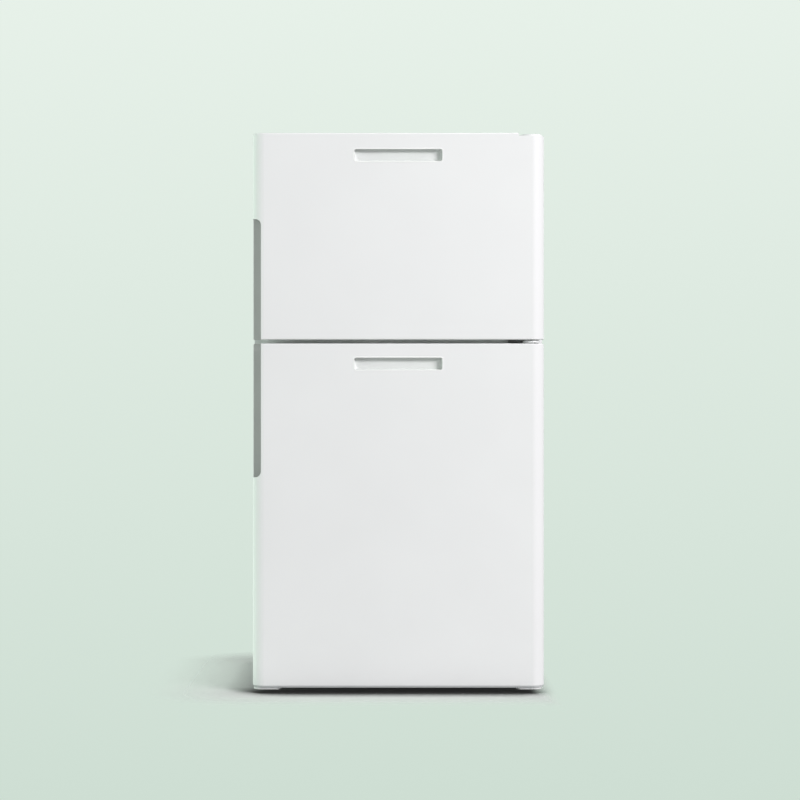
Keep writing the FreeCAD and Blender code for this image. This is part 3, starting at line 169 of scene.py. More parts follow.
# Base pan, roller brackets and back panel: bare galvanised sheet, blanked and folded. The pan is the cabinet's
# floor and the step over the machine room; the back panel closes the foam, is stiffened by three pressed beads
# and is held by screws at its edge.
PAN_EASE = 0.2
BEAD_WIDE = 24
BEAD_X = (-170, 0, 170)
BEAD_ENDS = (300, 1050)
BEAD_SIDE = ((0, -0.4), (0, 0), (1.5, 0.3), (4, 1.7), (6, 2.9), (8.5, 3.6))  # inset and rise
BEAD_FLAT = 0.1
CRYSTAL = 5


def ring(low, high, radii, level, axis=2, corner=5, side=1):
    """Points round a rectangle with rounded corners, in millimetres, in the plane at one level of an axis."""
    radii = [radii] * 4 if isinstance(radii, (int, float)) else radii
    flat = []
    for quarter, r in enumerate(radii):
        u = high[0] - r if quarter in (0, 3) else low[0] + r
        v = high[1] - r if quarter in (0, 1) else low[1] + r
        for step in range(corner + 1):
            angle = math.radians(90 * (quarter + step / corner))
            flat.append((u + r * math.cos(angle), v + r * math.sin(angle)))
    points = []
    for i, here in enumerate(flat):
        there = flat[(i + 1) % len(flat)]
        parts = side if i % (corner + 1) == corner else 1
        points += [[a + (b - a) * k / parts for a, b in zip(here, there)] for k in range(parts)]
    return [p[:axis] + [level] + p[axis:] for p in points]


def loft(shape, rings, loop=False):
    """Skins a row of rings of equal count, and closes its two ends or joins them to each other."""
    rows = [[shape.verts.new(Vector(p) * MM) for p in points] for points in rings]
    if not loop:
        shape.faces.new(rows[0])
        shape.faces.new(rows[-1])
    for here, there in zip(rows, rows[1:] + (rows[:1] if loop else [])):
        for i in range(len(here)):
            j = (i + 1) % len(here)
            shape.faces.new((here[i], here[j], there[j], there[i]))


def span(node):
    """A node's lowest and highest corners in millimetres."""
    return [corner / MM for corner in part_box(node)]


# Hot-dip galvanised steel: grey zinc that froze in crystals about 5 mm across, each with its own tone and gloss.
galvanised, tree, place = new_material("galvanised_steel")
crystal = add(tree, "TexVoronoi", {"Vector": place, "Scale": 1 / (CRYSTAL * MM)})["Color"]
tilt = add(tree, "SeparateColor", {"Color": crystal})[0]
zinc = add(tree, "Mix", {FACTOR: tilt, TINT_A: linear("#A9ADAF"), TINT_B: linear("#BCC0C1")},
           data_type="RGBA")[TINT]
gloss = add(tree, "MapRange", {"Value": tilt, "To Min": 0.4, "To Max": 0.52})[0]
skin = add(tree, "BsdfPrincipled", {"Base Color": zinc, "Roughness": gloss, "Metallic": 1.0})[0]
add(tree, "OutputMaterial", {"Surface": skin})

for sheet in ("base_pan", "roller_brackets", "back_panel"):
    eased(sheet, PAN_EASE, galvanised)
panel_face = span("back_panel")[1].y
shape = bmesh.new()
for x in BEAD_X:
    rings = []
    for inset, rise in BEAD_SIDE:
        half = BEAD_WIDE / 2 - inset
        rings.append(ring((x - half, BEAD_ENDS[0] + inset), (x + half, BEAD_ENDS[1] - inset), half - BEAD_FLAT,
                          panel_face + rise, axis=1))
    loft(shape, rings)
piece("back_panel_beads", shape, galvanised, "back_panel", instead=False)


# Cabinet foam and the foam in both doors: polyurethane poured in as a liquid, which fills the walls and bonds
# the skins to the liners. It shows nowhere on a finished cabinet.
def dress(material, *names):
    """Gives CAD nodes whose shape is already right their finish."""
    for name in names:
        frame["nodes"][name].data.materials.clear()
        frame["nodes"][name].data.materials.append(material)


# Rigid polyurethane foam: straw coloured and matt, with cells drawn at 1.5 mm so that they show.
foam = surface("polyurethane_foam", "#E3CF94", "#D3BA78", drift=40, grain=1.5, relief=0.3,
               rough=(0.85, 0.95), shader={"IOR": 1.5})
dress(foam, "cabinet_foam", "upper_door_foam", "lower_door_foam")

# Freezer and fridge liners: one vacuum-formed sheet of white polystyrene each, drawn over a tool, so every
# inside corner is rounded. They hook over the shell's front flange.
LINER_CORNER = 4.5
LINER_EDGE = 0.8

# High-impact polystyrene, vacuum formed: bright white, glossy, with slow waves where the sheet stretched.
liner_plastic = surface("vacuum_formed_polystyrene", "#F1F3F2", "#EBEEED", drift=220, grain=26, relief=0.09,
                        rough=(0.2, 0.27), shader={"IOR": 1.59})
for liner in ("freezer_liner", "fridge_liner"):
    eased(liner, LINER_EDGE, liner_plastic, broad=LINER_CORNER)

# Table top: a flat board faced with white laminate and edged all round. It lies on the cabinet's roof, cut out
# at the right for the upper hinge.
TABLE_EDGE = 1.6

# Melamine laminate: white, pressed against a finely pebbled plate. The 0.6 mm pebble is drawn at 1.4 mm to show.
laminate = surface("white_melamine_laminate", "#EEF0EE", "#EAECEA", drift=90, grain=1.4, relief=0.02,
                   rough=(0.72, 0.82), shader={"IOR": 1.53})
eased("top_table", TABLE_EDGE, laminate)

# Hinges and the left foot's bracket: pressed steel plates, painted white with the cabinet. Their pins stand in
# the doors' end caps, and screws hold them to the shell.
for plate in ("upper_hinge", "middle_hinge", "lower_hinge", "left_foot_bracket"):
    eased(plate, FOLD_EASE, enamel)

# Upper hinge cover: a shallow cap over the upper hinge's foot, injection moulded in white ABS. It clips on from
# above and stands level with the table top.
COVER_EDGE = 2.0

# ABS, injection moulded in a spark-eroded tool: white, satin, with a fine matt grain drawn at 1.1 mm.
white_abs = surface("moulded_white_abs", "#E9EBEA", "#E3E6E4", drift=120, grain=1.1, relief=0.012,
                    rough=(0.36, 0.46), shader={"IOR": 1.53})
eased("upper_hinge_cover", COVER_EDGE, white_abs)

# Hinge screws: countersunk screws of zinc-plated steel with a cross recess, cold headed and rolled. They hold the
# hinge plates to the shell, with their flat heads level with the plates.
HEAD_R = 4.0
HEAD_DEEP = 2.0
HEAD_RIM = 0.2
HEAD_CROWN = 0.5
SHANK_R = 2.0
TIP_R = 0.4
TIP_LONG = 1.5
CROSS_ARM = 2.2
CROSS_HALF = 0.45
CROSS_NECK = CROSS_ARM * 0.6
CROSS_DEEP = 1.5
CROSS_TAPER = 0.7
CROSS = [(CROSS_ARM, -CROSS_HALF), (CROSS_ARM, 0), (CROSS_ARM, CROSS_HALF), (CROSS_NECK, CROSS_HALF),
         (CROSS_HALF, CROSS_HALF), (CROSS_HALF, CROSS_NECK)]


def disc(centre, radius, level, axis=2, steps=24, flutes=0, bite=0.0, start=0.0):
    """Points round a circle in millimetres, in the plane at one level of an axis, with shallow flutes if asked."""
    points = []
    for step in range(steps):
        angle = 2 * math.pi * step / steps
        r = radius - bite * (0.5 - 0.5 * math.cos(flutes * angle + start))
        flat = [centre[0] + r * math.cos(angle), centre[1] + r * math.sin(angle)]
        points.append(flat[:axis] + [level] + flat[axis:])
    return points


def islands(node):
    """Low and high corners, in millimetres, of each separate solid in a node."""
    shape = bmesh.new()
    shape.from_mesh(frame["nodes"][node].data)
    bmesh.ops.remove_doubles(shape, verts=shape.verts, dist=WELD * MM)
    left, boxes = set(shape.verts), []
    for seed in shape.verts:
        if seed not in left:
            continue
        left.discard(seed)
        group = [seed]
        for vert in group:
            for other in (e.other_vert(vert) for e in vert.link_edges):
                if other in left:
                    left.discard(other)
                    group.append(other)
        boxes.append([Vector([f(v.co[i] for v in group) / MM for i in range(3)]) for f in (min, max)])
    shape.free()
    return boxes


def cross_screw(shape, centre, face, out, axis, length, head=HEAD_R, dome=0.0):
    """A screw with a cross recess: its head's face at a level of the axis, pointing out, and its shank behind."""
    arms = []
    for c, s in ((1, 0), (0, 1), (-1, 0), (0, -1)):
        arms += [(u * c - v * s, u * s + v * c) for u, v in CROSS]
    rows = []
    for radius, back in ((TIP_R, length), (SHANK_R, length - TIP_LONG), (SHANK_R, HEAD_DEEP),
                         (head - HEAD_RIM, HEAD_RIM), (head - HEAD_RIM / 2, 0.0), (head - HEAD_CROWN, -dome)):
        points = disc(centre, radius, face - out * back, axis)
        rows.append(points[-1:] + points[:-1])
    for scale, back in ((1.0, -dome), (CROSS_TAPER, CROSS_DEEP)):
        level = face - out * back
        flat = [[centre[0] + u * scale, centre[1] + v * scale] for u, v in arms]
        rows.append([p[:axis] + [level] + p[axis:] for p in flat])
    loft(shape, rows)


# Zinc-plated steel: bright blue-grey metal, lightly clouded by the plating bath.
screw_steel = surface("zinc_plated_steel", "#C3C7CC", "#A9ADB2", drift=3, grain=0.8, relief=0.01,
                      rough=(0.24, 0.36), shader={"Metallic": 1.0})
shape = bmesh.new()
for low, high in islands("screws"):
    middle = (low + high) / 2
    if high.z - low.z > high.y - low.y:
        cross_screw(shape, (middle.x, middle.y), high.z, out=1, axis=2, length=high.z - low.z)
    else:
        cross_screw(shape, (middle.x, middle.z), low.y, out=-1, axis=1, length=high.y - low.y)
piece("hinge_screws", shape, screw_steel, "screws")

# Sheet screws of the back: the same plated steel with domed pan heads, driven through the edges of the back panel
# and of the machine cover into the shell's folded flanges.
SHEET_HEAD = 4.2
SHEET_DOME = 1.3
SHEET_LONG = 3.0
SIDE_X, INNER_X = 286, 95
PANEL_SCREWS = [(x, z) for x in (-SIDE_X, SIDE_X) for z in (235, 520, 805, 1090)]
PANEL_SCREWS += [(-INNER_X, 1114), (INNER_X, 1114)]
COVER_SCREWS = [(x, z) for x in (-INNER_X, -SIDE_X, INNER_X, SIDE_X) for z in (30, 193)]
for sheet, spots in (("back_panel", PANEL_SCREWS), ("machine_cover", COVER_SCREWS)):
    shape = bmesh.new()
    for spot in spots:
        cross_screw(shape, spot, panel_face, out=1, axis=1, length=SHEET_LONG, head=SHEET_HEAD, dome=SHEET_DOME)
    piece(sheet + "_screws", shape, screw_steel, sheet, instead=False)

# Machine cover: a steel sheet over the machine room at the back, with louvres pressed out of it for the air. It is
# powder coated light grey, and eight sheet screws hold it.

# Powder coat: a tough matt paint with a coarse orange peel about 1.6 mm across.
grey_coat = surface("grey_powder_coat", "#B4B8B9", "#A8ADAE", drift=70, grain=1.6, relief=0.03,
                    rough=(0.45, 0.56), shader={"IOR": 1.5})
eased("machine_cover", FOLD_EASE, grey_coat)

# Compressor: two deep-drawn steel cups, welded round the middle and sprayed black, on a sole plate. Four rubber
# mounts carry it, and a moulded relay box clips to its side.
DRAWN_EDGE = 1.2
MOUNT_EDGE = 0.8
RELAY_EDGE = 1.4
DRAWN_R = 60
SEAM_UP = 4
SEAM_SINK = 0.6
SEAM_OUT = 2.4
SEAM_HALF = 2.2
SEAM_SIDE = [(0.2, -1), (0.6, -1), (0.95, -0.6), (1, 0), (0.95, 0.6), (0.6, 1), (0.2, 1)]

# Black air-drying paint over drawn steel: half gloss, with runs and dust about 3 mm across.
black_paint = surface("black_spray_paint", "#232425", "#17181A", drift=30, grain=3, relief=0.05,
                      rough=(0.3, 0.46), shader={"IOR": 1.5})
# Natural rubber, compression moulded: nearly black and matt.
rubber = surface("moulded_rubber", "#222222", "#161616", drift=15, grain=0.8, relief=0.03,
                 rough=(0.62, 0.78), shader={"IOR": 1.52})
# Black polypropylene, injection moulded: charcoal, satin, with a fine matt grain drawn at 1.1 mm.
black_plastic = surface("moulded_black_polypropylene", "#2B2C2D", "#202122", drift=40, grain=1.1, relief=0.015,
                        rough=(0.4, 0.52), shader={"IOR": 1.49})
eased("compressor", DRAWN_EDGE, black_paint)
low, high = span("compressor")
middle = ((low.x + high.x) / 2, (low.y + high.y) / 2)
seam_z = (low.z + high.z) / 2 + SEAM_UP
shape = bmesh.new()
loft(shape, [disc(middle, DRAWN_R - SEAM_SINK + SEAM_OUT * out, seam_z + SEAM_HALF * up, steps=96)
             for out, up in SEAM_SIDE], loop=True)
piece("compressor_weld_seam", shape, black_paint, "compressor", instead=False)
eased("compressor_mounts", MOUNT_EDGE, rubber)
eased("relay_box", RELAY_EDGE, black_plastic)

# Condenser, pipes and filter: a black-painted steel coil under the foam's step, and bare copper tube brazed from
# the compressor through the filter to the back wall.
COIL_EDGE = 0.2
TUBE_EDGE = 0.3

# Drawn copper: warm metal with brown clouds of tarnish about 20 mm across.
copper = surface("drawn_copper", "#CC8058", "#9C5B3C", drift=20, grain=2, relief=0.01,
                 rough=(0.25, 0.42), shader={"Metallic": 1.0})
eased("condenser_coil", COIL_EDGE, black_paint)
for tube in ("copper_pipes", "filter_drier"):
    eased(tube, TUBE_EDGE, copper)

# Drip tray, spacers and cord gland: black mouldings of the machine room and the back. The tray takes the melt
# water; the round spacers keep the cabinet off the wall.
DRIP_EDGE = 0.7
GLAND_EDGE = 0.7
SPACER_SIDE = [(11.6, 0), (12, 0.4), (12, 2.2), (11.4, 2.9), (9.6, 3.2), (9.2, 3.6), (9.0, 5.0), (8.4, 5.7),
               (7.4, 6.0), (3.6, 6.0), (3.0, 5.7), (2.6, 4.4)]  # radius and distance from the panel
eased("drip_tray", DRIP_EDGE, black_plastic)
eased("cord_gland", GLAND_EDGE, black_plastic)
shape = bmesh.new()
for low, high in islands("rear_bumpers"):
    middle = ((low.x + high.x) / 2, (low.z + high.z) / 2)
    loft(shape, [disc(middle, r, low.y + along, axis=1, steps=40) for r, along in SPACER_SIDE])
piece("wall_spacers", shape, black_plastic, "rear_bumpers")

# Evaporator, fan and its motor: a block of aluminium fins on a tube behind the freezer's back wall, and a small
# moulded fan that blows over it.
FAN_EDGE = 0.3
MOTOR_EDGE = 1.0
ROLLED = (1, 1, 12)

# Rolled aluminium: pale metal with fine lines along the rolling, drawn 1.5 mm apart.
aluminium = surface("rolled_aluminium", "#D0D2D4", "#BABDC0", drift=30, grain=1.5, relief=0.01,
                    rough=(0.3, 0.44), shader={"Metallic": 1.0}, stretch=ROLLED)
dress(aluminium, "evaporator")
eased("fan", FAN_EDGE, black_plastic)
eased("fan_motor", MOTOR_EDGE, black_plastic)

# Freezer's duct cover and shelf: white ABS mouldings. The cover hides the evaporator, with slots for the air,
# and the slotted shelf stands on the liner's ledges.
DUCT_EDGE = 0.7
SHELF_EDGE = 1.2
eased("duct_cover", DUCT_EDGE, white_abs)
eased("freezer_shelf", SHELF_EDGE, white_abs)

# Control box, lamp lens and dial: a white moulding under the fridge's ceiling with the lamp behind a ribbed
# opal lens, and a fluted dial with a raised scale that grows towards colder.
BOX_EDGE = 2.5
RIB_PITCH = 3.5
RIB_DEEP = 0.9
LENS_RINGS = 2     # for each millimetre
LENS_END = 1.6
LENS_BOW = 0.8
LENS_R = 0.8
SHAFT_R = 5.0
SHAFT_END = 14.2
DIAL_STEPS = 120
DIAL_FLUTES = 20
DIAL_SIDE = [(0.8, 14.0, 0), (0, 13.4, 0), (0, 11.6, 0), (0.6, 10.9, 0), (2.4, 10.5, 0.4), (3.0, 9.8, 1.3),
             (3.4, 2.2, 1.3), (3.9, 0.9, 1.0), (4.9, 0.2, 0.4), (6.2, 0, 0), (7.4, 0.5, 0)]  # inset, back, flutes
POINTER_SIDE = ((0, 0.7), (0, 0.25), (0.3, -0.05))
POINTER_HALF = 0.9
POINTER_FOOT = 1.5
POINTER_TIP = 7.8
POINTER_R = 0.4
SCALE_MARKS = 7
SCALE_FROM, SCALE_TURN = 90, 270
MARK_R = 20.5
MARK_HALF = 0.5
MARK_LONG, MARK_GROWS = 1.6, 0.55
MARK_SIDE = ((0, -0.1), (0, 0.12), (0.12, 0.2))

# Opal acrylic: milk white, so that light from the lamp behind spreads through it.
opal = surface("opal_acrylic", "#F6F7F4", "#EEF0EB", drift=40, grain=2, relief=0.01, rough=(0.16, 0.24),
               shader={"IOR": 1.49, "Subsurface Weight": 0.4, "Subsurface Radius": (0.004, 0.004, 0.004),
                       "Subsurface Scale": 1.0})
# Grey pad ink, printed thick on the dial's pointer and on the control box as a scale: dull and mid grey.
ink = surface("grey_pad_ink", "#6E7476", "#62686A", drift=5, grain=0.6, relief=0.01,
              rough=(0.5, 0.6), shader={"IOR": 1.5})
eased("control_box", BOX_EDGE, white_abs)
low, high = span("lamp_lens")
shape = bmesh.new()
rings = []
for step in range(int((high.x - low.x) * LENS_RINGS) + 1):
    x = low.x + step / LENS_RINGS
    end = max(0.0, LENS_END - min(x - low.x, high.x - x))
    rib = RIB_DEEP * (0.5 - 0.5 * math.cos(2 * math.pi * (x - low.x) / RIB_PITCH))
    front = low.y + rib + end * end * LENS_BOW
    rings.append(ring((front, low.z + end / 2), (high.y, high.z - end / 2), LENS_R, x, axis=0, corner=3))
loft(shape, rings)
piece("ribbed_lamp_lens", shape, opal, "lamp_lens")

low, high = span("temperature_dial")
dial = ((low.x + high.x) / 2, (low.z + high.z) / 2)
dial_r = (high.x - low.x) / 2
shape = bmesh.new()
profile = [(SHAFT_R, high.y, 0), (SHAFT_R, low.y + SHAFT_END, 0)]
profile += [(dial_r - inset, low.y + back, bite) for inset, back, bite in DIAL_SIDE]
loft(shape, [disc(dial, r, y, axis=1, steps=DIAL_STEPS, flutes=DIAL_FLUTES, bite=bite) for r, y, bite in profile])
pointer = len(shape.faces)
loft(shape, [ring((dial[0] - POINTER_HALF + inset, dial[1] + POINTER_FOOT + inset),
                  (dial[0] + POINTER_HALF - inset, dial[1] + dial_r - POINTER_TIP - inset),
                  POINTER_R, low.y + back, axis=1, corner=3) for inset, back in POINTER_SIDE])
knob = piece("fluted_dial", shape, white_abs, "temperature_dial")
knob.data.materials.append(ink)
for face in knob.data.polygons[pointer:]:
    face.material_index = 1

box_face = span("control_box")[0].y
shape = bmesh.new()
for mark in range(SCALE_MARKS):
    angle = math.radians(SCALE_FROM + SCALE_TURN * mark / (SCALE_MARKS - 1))
    along = Vector((math.cos(angle), 0, math.sin(angle)))
    across = Vector((-math.sin(angle), 0, math.cos(angle)))
    tip = MARK_R + MARK_LONG + MARK_GROWS * mark
    rings = []
    for inset, rise in MARK_SIDE:
        middle = Vector((dial[0], box_face - rise, dial[1]))
        near, far, half = MARK_R + inset, tip - inset, MARK_HALF - inset
        corners = ((near, -half), (far, -half), (far, half), (near, half))
        rings.append([list(middle + along * a + across * b) for a, b in corners])
    loft(shape, rings)
piece("dial_scale", shape, ink, "control_box", instead=False)

# Door switch: a moulded white housing, clipped in under the fridge's ceiling, with a spring-loaded plunger. The
# closed door presses the plunger's round nose.
SWITCH_EDGE = 1.5
NOSE_TURNS = (12, 30, 50, 70, 90)
PLUNGER_SIDE = ((0, 9), (0.5, 9.4), (0.5, 10.4), (0, 10.8))  # inset and distance from the nose
PLUNGER_END = 0.5
eased("switch_housing", SWITCH_EDGE, white_abs)
low, high = span("switch_plunger")
middle, nose_r = ((low.x + high.x) / 2, (low.z + high.z) / 2), (high.x - low.x) / 2
profile = [(nose_r * math.sin(math.radians(a)), low.y + nose_r * (1 - math.cos(math.radians(a))))
           for a in NOSE_TURNS]
profile += [(nose_r - inset, low.y + back) for inset, back in PLUNGER_SIDE]
profile += [(nose_r, high.y - PLUNGER_END), (nose_r - PLUNGER_END, high.y)]
shape = bmesh.new()
loft(shape, [disc(middle, r, y, axis=1, steps=28) for r, y in profile])
piece("round_nosed_plunger", shape, white_abs, "switch_plunger")

# Fridge shelves: plates of toughened glass with ground edges, each with a moulded trim pressed on its front edge.
# They lie on the liner's ledges.
GROUND_EDGE = 0.9
TRIM_EDGE = 1.0


def clear_material(name, tint, passed, wave, relief, rough, ior):
    """A clear finish with slow waves in its polish, which lets the light of lamps and walls straight through."""
    material, tree, place = new_material(name)
    film = add(tree, "TexNoise", {"Vector": place, "Scale": 1 / (wave * MM), "Detail": 1.0})[0]
    gloss = add(tree, "MapRange", {"Value": film, "From Min": NOISE[0], "From Max": NOISE[1],
                                   "To Min": rough[0], "To Max": rough[1]})[0]
    bump = add(tree, "Bump", {"Height": film, "Distance": relief * MM})[0]
    skin = add(tree, "BsdfPrincipled", {"Base Color": linear(tint), "Roughness": gloss, "Normal": bump,
                                        "IOR": ior, "Transmission Weight": 1.0})[0]
    path = add(tree, "LightPath", {})
    light = add(tree, "Math", {0: path["Is Shadow Ray"], 1: path["Is Diffuse Ray"]}, operation="MAXIMUM")[0]
    through = add(tree, "BsdfTransparent", {"Color": linear(passed)})[0]
    both = add(tree, "MixShader", {0: light, 1: skin, 2: through})[0]
    add(tree, "OutputMaterial", {"Surface": both})
    return material


# Toughened float glass: clear and flat, with a little of the green of its iron.
glass = clear_material("toughened_glass", tint="#F1FAF6", passed="#EDF7F2", wave=60, relief=0.01,
                       rough=(0.0, 0.03), ior=1.52)
eased("glass_shelves", GROUND_EDGE, glass)
eased("shelf_trims", TRIM_EDGE, white_abs)

# Crisper and freezer drawer: clear trays moulded in one shot, with drafted walls, a beaded rim that runs on the
# ledges, and a finger lip drawn out of the front of the rim.
DRAWER_WALL = 2.2
DRAWER_R = 12
DRAWER_FILLET = 7
DRAWER_DRAFT = 4
DRAWER_BANDS = (0.72, 0.84)
LIP_OUT = 8
LIP_HALF = 60
LIP_SOFT = 14
TRAY_TURNS = [math.radians(a) for a in (0, 22, 45, 67, 90)]
TRAY_PARTS = 36
TRAY_R_LEAST = 0.6
FILLET_LESS, FILLET_LEAST = 0.6, 2.0
BAND_SIDE = ((0, -3.0), (0.7, -2.2), (0.7, 2.2), (0, 3.0))
TRAY_RIM_TALL = 7.2
TRAY_RIM_PROUD = 2.1
TRAY_RIM_SIDE = ((1.5, 5.4, 0.15), (0.3, 4.5, 0.5), (0, 3.0, 0.9), (0, 1.2, 1), (0.35, 0.3, 1), (0.9, 0, 1))
TRAY_RIM_INSIDE = ((0.9, 0, 0.3), (0.3, 0.3, 0.1), (0, 1.0, 0))  # inset, depth under the top, share of the lip


def tray(shape, low, high, radii, wall, fillet, draft, bands, lip=0.0):
    """A moulded tray between two corners: round floor, drafted walls with bands, a beaded rim and a finger lip."""
    rim_foot = high.z - TRAY_RIM_TALL

    def lean(z):
        return TRAY_RIM_PROUD + draft * (rim_foot - z) / (high.z - low.z)

    rows = []
    for a in TRAY_TURNS:
        z = low.z + fillet * (1 - math.cos(a))
        rows.append((lean(z) + fillet * (1 - math.sin(a)), z, 0))
    for band in bands:
        z = low.z + fillet + (rim_foot - low.z - fillet) * band
        rows += [(lean(z) + sink, z + up, 0) for sink, up in BAND_SIDE]
    rows.append((lean(rim_foot), rim_foot, 0))
    rows += [(inset, high.z - down, share) for inset, down, share in TRAY_RIM_SIDE]
    rows += [(TRAY_RIM_PROUD + wall - inset, high.z - down, share) for inset, down, share in TRAY_RIM_INSIDE]
    inner_fillet = max(fillet - wall * FILLET_LESS, FILLET_LEAST)
    for a in reversed(TRAY_TURNS):
        z = low.z + wall + inner_fillet * (1 - math.cos(a))
        rows.append((lean(z) + wall + inner_fillet * (1 - math.sin(a)), z, 0))
    rings = []
    for inset, z, share in rows:
        rounded = [max(r - inset, TRAY_R_LEAST) for r in radii]
        front = low.y + inset
        points = ring((low.x + inset, front), (high.x - inset, high.y - inset), rounded, z, side=TRAY_PARTS)
        for p in points:
            if share and lip and p[1] < front + WELD:
                reach = min(1.0, max(0.0, (LIP_HALF + LIP_SOFT - abs(p[0])) / LIP_SOFT))
                p[1] -= lip * share * reach * reach * (3 - 2 * reach)
        rings.append(points)
    loft(shape, rings)


# Clear polystyrene, injection moulded: water clear with a faint cold tint, and slow waves in its polish.
clear_plastic = clear_material("clear_polystyrene", tint="#FAFCFD", passed="#F2F6F7", wave=18, relief=0.06,
                               rough=(0.03, 0.1), ior=1.59)
for drawer in ("crisper_drawer", "freezer_drawer"):
    low, high = span(drawer)
    shape = bmesh.new()
    tray(shape, Vector((low.x, low.y + LIP_OUT, low.z)), high, [DRAWER_R] * 4, DRAWER_WALL, DRAWER_FILLET,
         DRAWER_DRAFT, DRAWER_BANDS, LIP_OUT)
    piece(drawer + "_tray", shape, clear_plastic, drawer)

# Feet and rollers: black mouldings under the cabinet. Each front foot is a fluted knob on a threaded stem, which
# turns to level the cabinet; the rear rollers turn on the brackets' axles.
ROLLER_EDGE = 1.2
FOOT_STEPS = 72
FOOT_FLUTES = 24
FOOT_SIDE = [(3.5, 0, 0), (1.6, 0.3, 0), (1.0, 1.0, 0), (0.4, 1.6, 0), (0, 2.2, 1.0), (0, 5.0, 1.0),
             (0.8, 6.2, 0.7), (2.2, 6.8, 0.3), (4.5, 7.0, 0)]  # inset, height, flutes
NECK_SIDE = [(7.0, 7.0, 0), (6.2, 7.6, 0), (5.6, 8.6, 0)]
STEM_R = 5.0
STEM_FOOT = 9.0
STEM_TIP_R = 4.0
STEM_TIP = 0.5
THREAD = 2.5
THREAD_DEEP = 0.55
THREAD_STEPS = 8
for foot in ("left_foot", "right_foot"):
    low, high = span(foot)
    middle, foot_r = ((low.x + high.x) / 2, (low.y + high.y) / 2), (high.x - low.x) / 2
    profile = [(foot_r - inset, up, bite) for inset, up, bite in FOOT_SIDE] + NECK_SIDE
    rings = [disc(middle, r, low.z + up, steps=FOOT_STEPS, flutes=FOOT_FLUTES, bite=bite)
             for r, up, bite in profile]
    rows = int((high.z - low.z - STEM_FOOT - STEM_TIP) / THREAD * THREAD_STEPS)
    for row in range(rows):
        turn = row / THREAD_STEPS
        rings.append(disc(middle, STEM_R, low.z + STEM_FOOT + THREAD * turn, steps=FOOT_STEPS, flutes=1,
                          bite=THREAD_DEEP, start=-2 * math.pi * turn))
    rings.append(disc(middle, STEM_TIP_R, high.z, steps=FOOT_STEPS))
    shape = bmesh.new()
    loft(shape, rings)
    piece(foot + "_screw", shape, black_plastic, foot)
for roller in ("left_roller", "right_roller"):
    eased(roller, ROLLER_EDGE, black_plastic)

# Door skins: one painted sheet each, folded at the sides into large round corners and pierced for the pull slot
# and the finger notch. The edges of both openings are rolled in by the punch, and the hem at the lower door's
# foot is pressed flat.
ROLL_EDGE = 0.9
NEAR = 1           # how far round an opening its edges are looked for
BEHIND = 0.1
SLOT_HALF = 90.5
NOTCH_X = -282
NOTCH_WIDE = 14
HEM_R = 2.6
HEM_DROP = 0.6
HEM_FLAT = 0.25
for door in ("upper", "lower"):
    face = span(door + "_door_skin")[0].y
    cup_low, cup_high = span(door + "_handle_cup")
    grip_low, grip_high = span(door + "_side_grip")
    slot_edge = ((-SLOT_HALF - NEAR, face - NEAR, cup_low.z), (SLOT_HALF + NEAR, face + BEHIND, cup_high.z))
    notch_edge = ((NOTCH_X - NOTCH_WIDE, face - NEAR, grip_low.z), (NOTCH_X + NEAR, face + BEHIND, grip_high.z))
    skin = eased(door + "_door_skin", FOLD_EASE, enamel, roll=ROLL_EDGE, rolled=(slot_edge, notch_edge))
hem = span("lower_door_skin")[0].z
for vert in skin.data.vertices:
    up = vert.co.z / MM - hem
    if up < HEM_R:
        vert.co.z = (hem - HEM_DROP + up * HEM_FLAT) * MM

# Door end caps: mouldings that close the top and bottom of each skin and carry the hinge bushes. They are white,
# but for the lower door's bottom one, which is grey and shows as a line under the skin.
CAP_EDGE = 0.6

# Grey ABS, injection moulded: mid grey and satin, with a fine matt grain drawn at 1.1 mm.
grey_abs = surface("moulded_grey_abs", "#C4C7C7", "#BABEBE", drift=60, grain=1.1, relief=0.012,
                   rough=(0.42, 0.52), shader={"IOR": 1.53})
eased("upper_door_end_caps", CAP_EDGE, white_abs)
low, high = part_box("lower_door_end_caps")
caps = eased("lower_door_end_caps", CAP_EDGE, grey_abs)
caps.data.materials.append(white_abs)
for face in caps.data.polygons:
    face.material_index = int(face.center.z > (low.z + high.z) / 2)

# Door liners: vacuum-formed sheets of the same polystyrene that close the doors' backs. A hollow rim stands up
# round the racks, drawn over the tool with drafted sides and round crests.
SHEET = 2.0
RIM_X = 247
RIM_Z = {"upper": (761, 1080), "lower": (68, 683)}
RIM_WIDE = 25
RIM_R, RIM_R_LESS, RIM_R_LEAST = 10, 0.2, 3
FIELD = 12
FOOT_R = 3.5
CREST_R = 4.0
CREST_IN, CREST_OUT = 0.5, 1.2
HOLLOW_R = 4
HOLLOW_FOOT, HOLLOW_LEAN = 4, 0.2
HOLLOW_TOP = 5
HINGE_STEP = (235, 1144.2)
BORDER_R = 1.5
BORDER_FRONT = [(1.4, 0), (0.5, -0.2), (0, -0.8)]
BORDER_BACK = [(0, 0.4), (0.4, 0)]
RIM_POINTS = {"axis": 1, "corner": 6, "side": 24}
QUARTER = [math.radians(a) for a in (0, 22.5, 45, 67.5, 90)]


def rim_rings(rim_low, rim_high, rows):
    """Rings round a door's racks, each drawn in from the rim's outside and at its own depth."""
    return [ring((-RIM_X + u, rim_low + u), (RIM_X - u, rim_high - u), max(RIM_R - u * RIM_R_LESS, RIM_R_LEAST), y,
                 **RIM_POINTS) for u, y in rows]


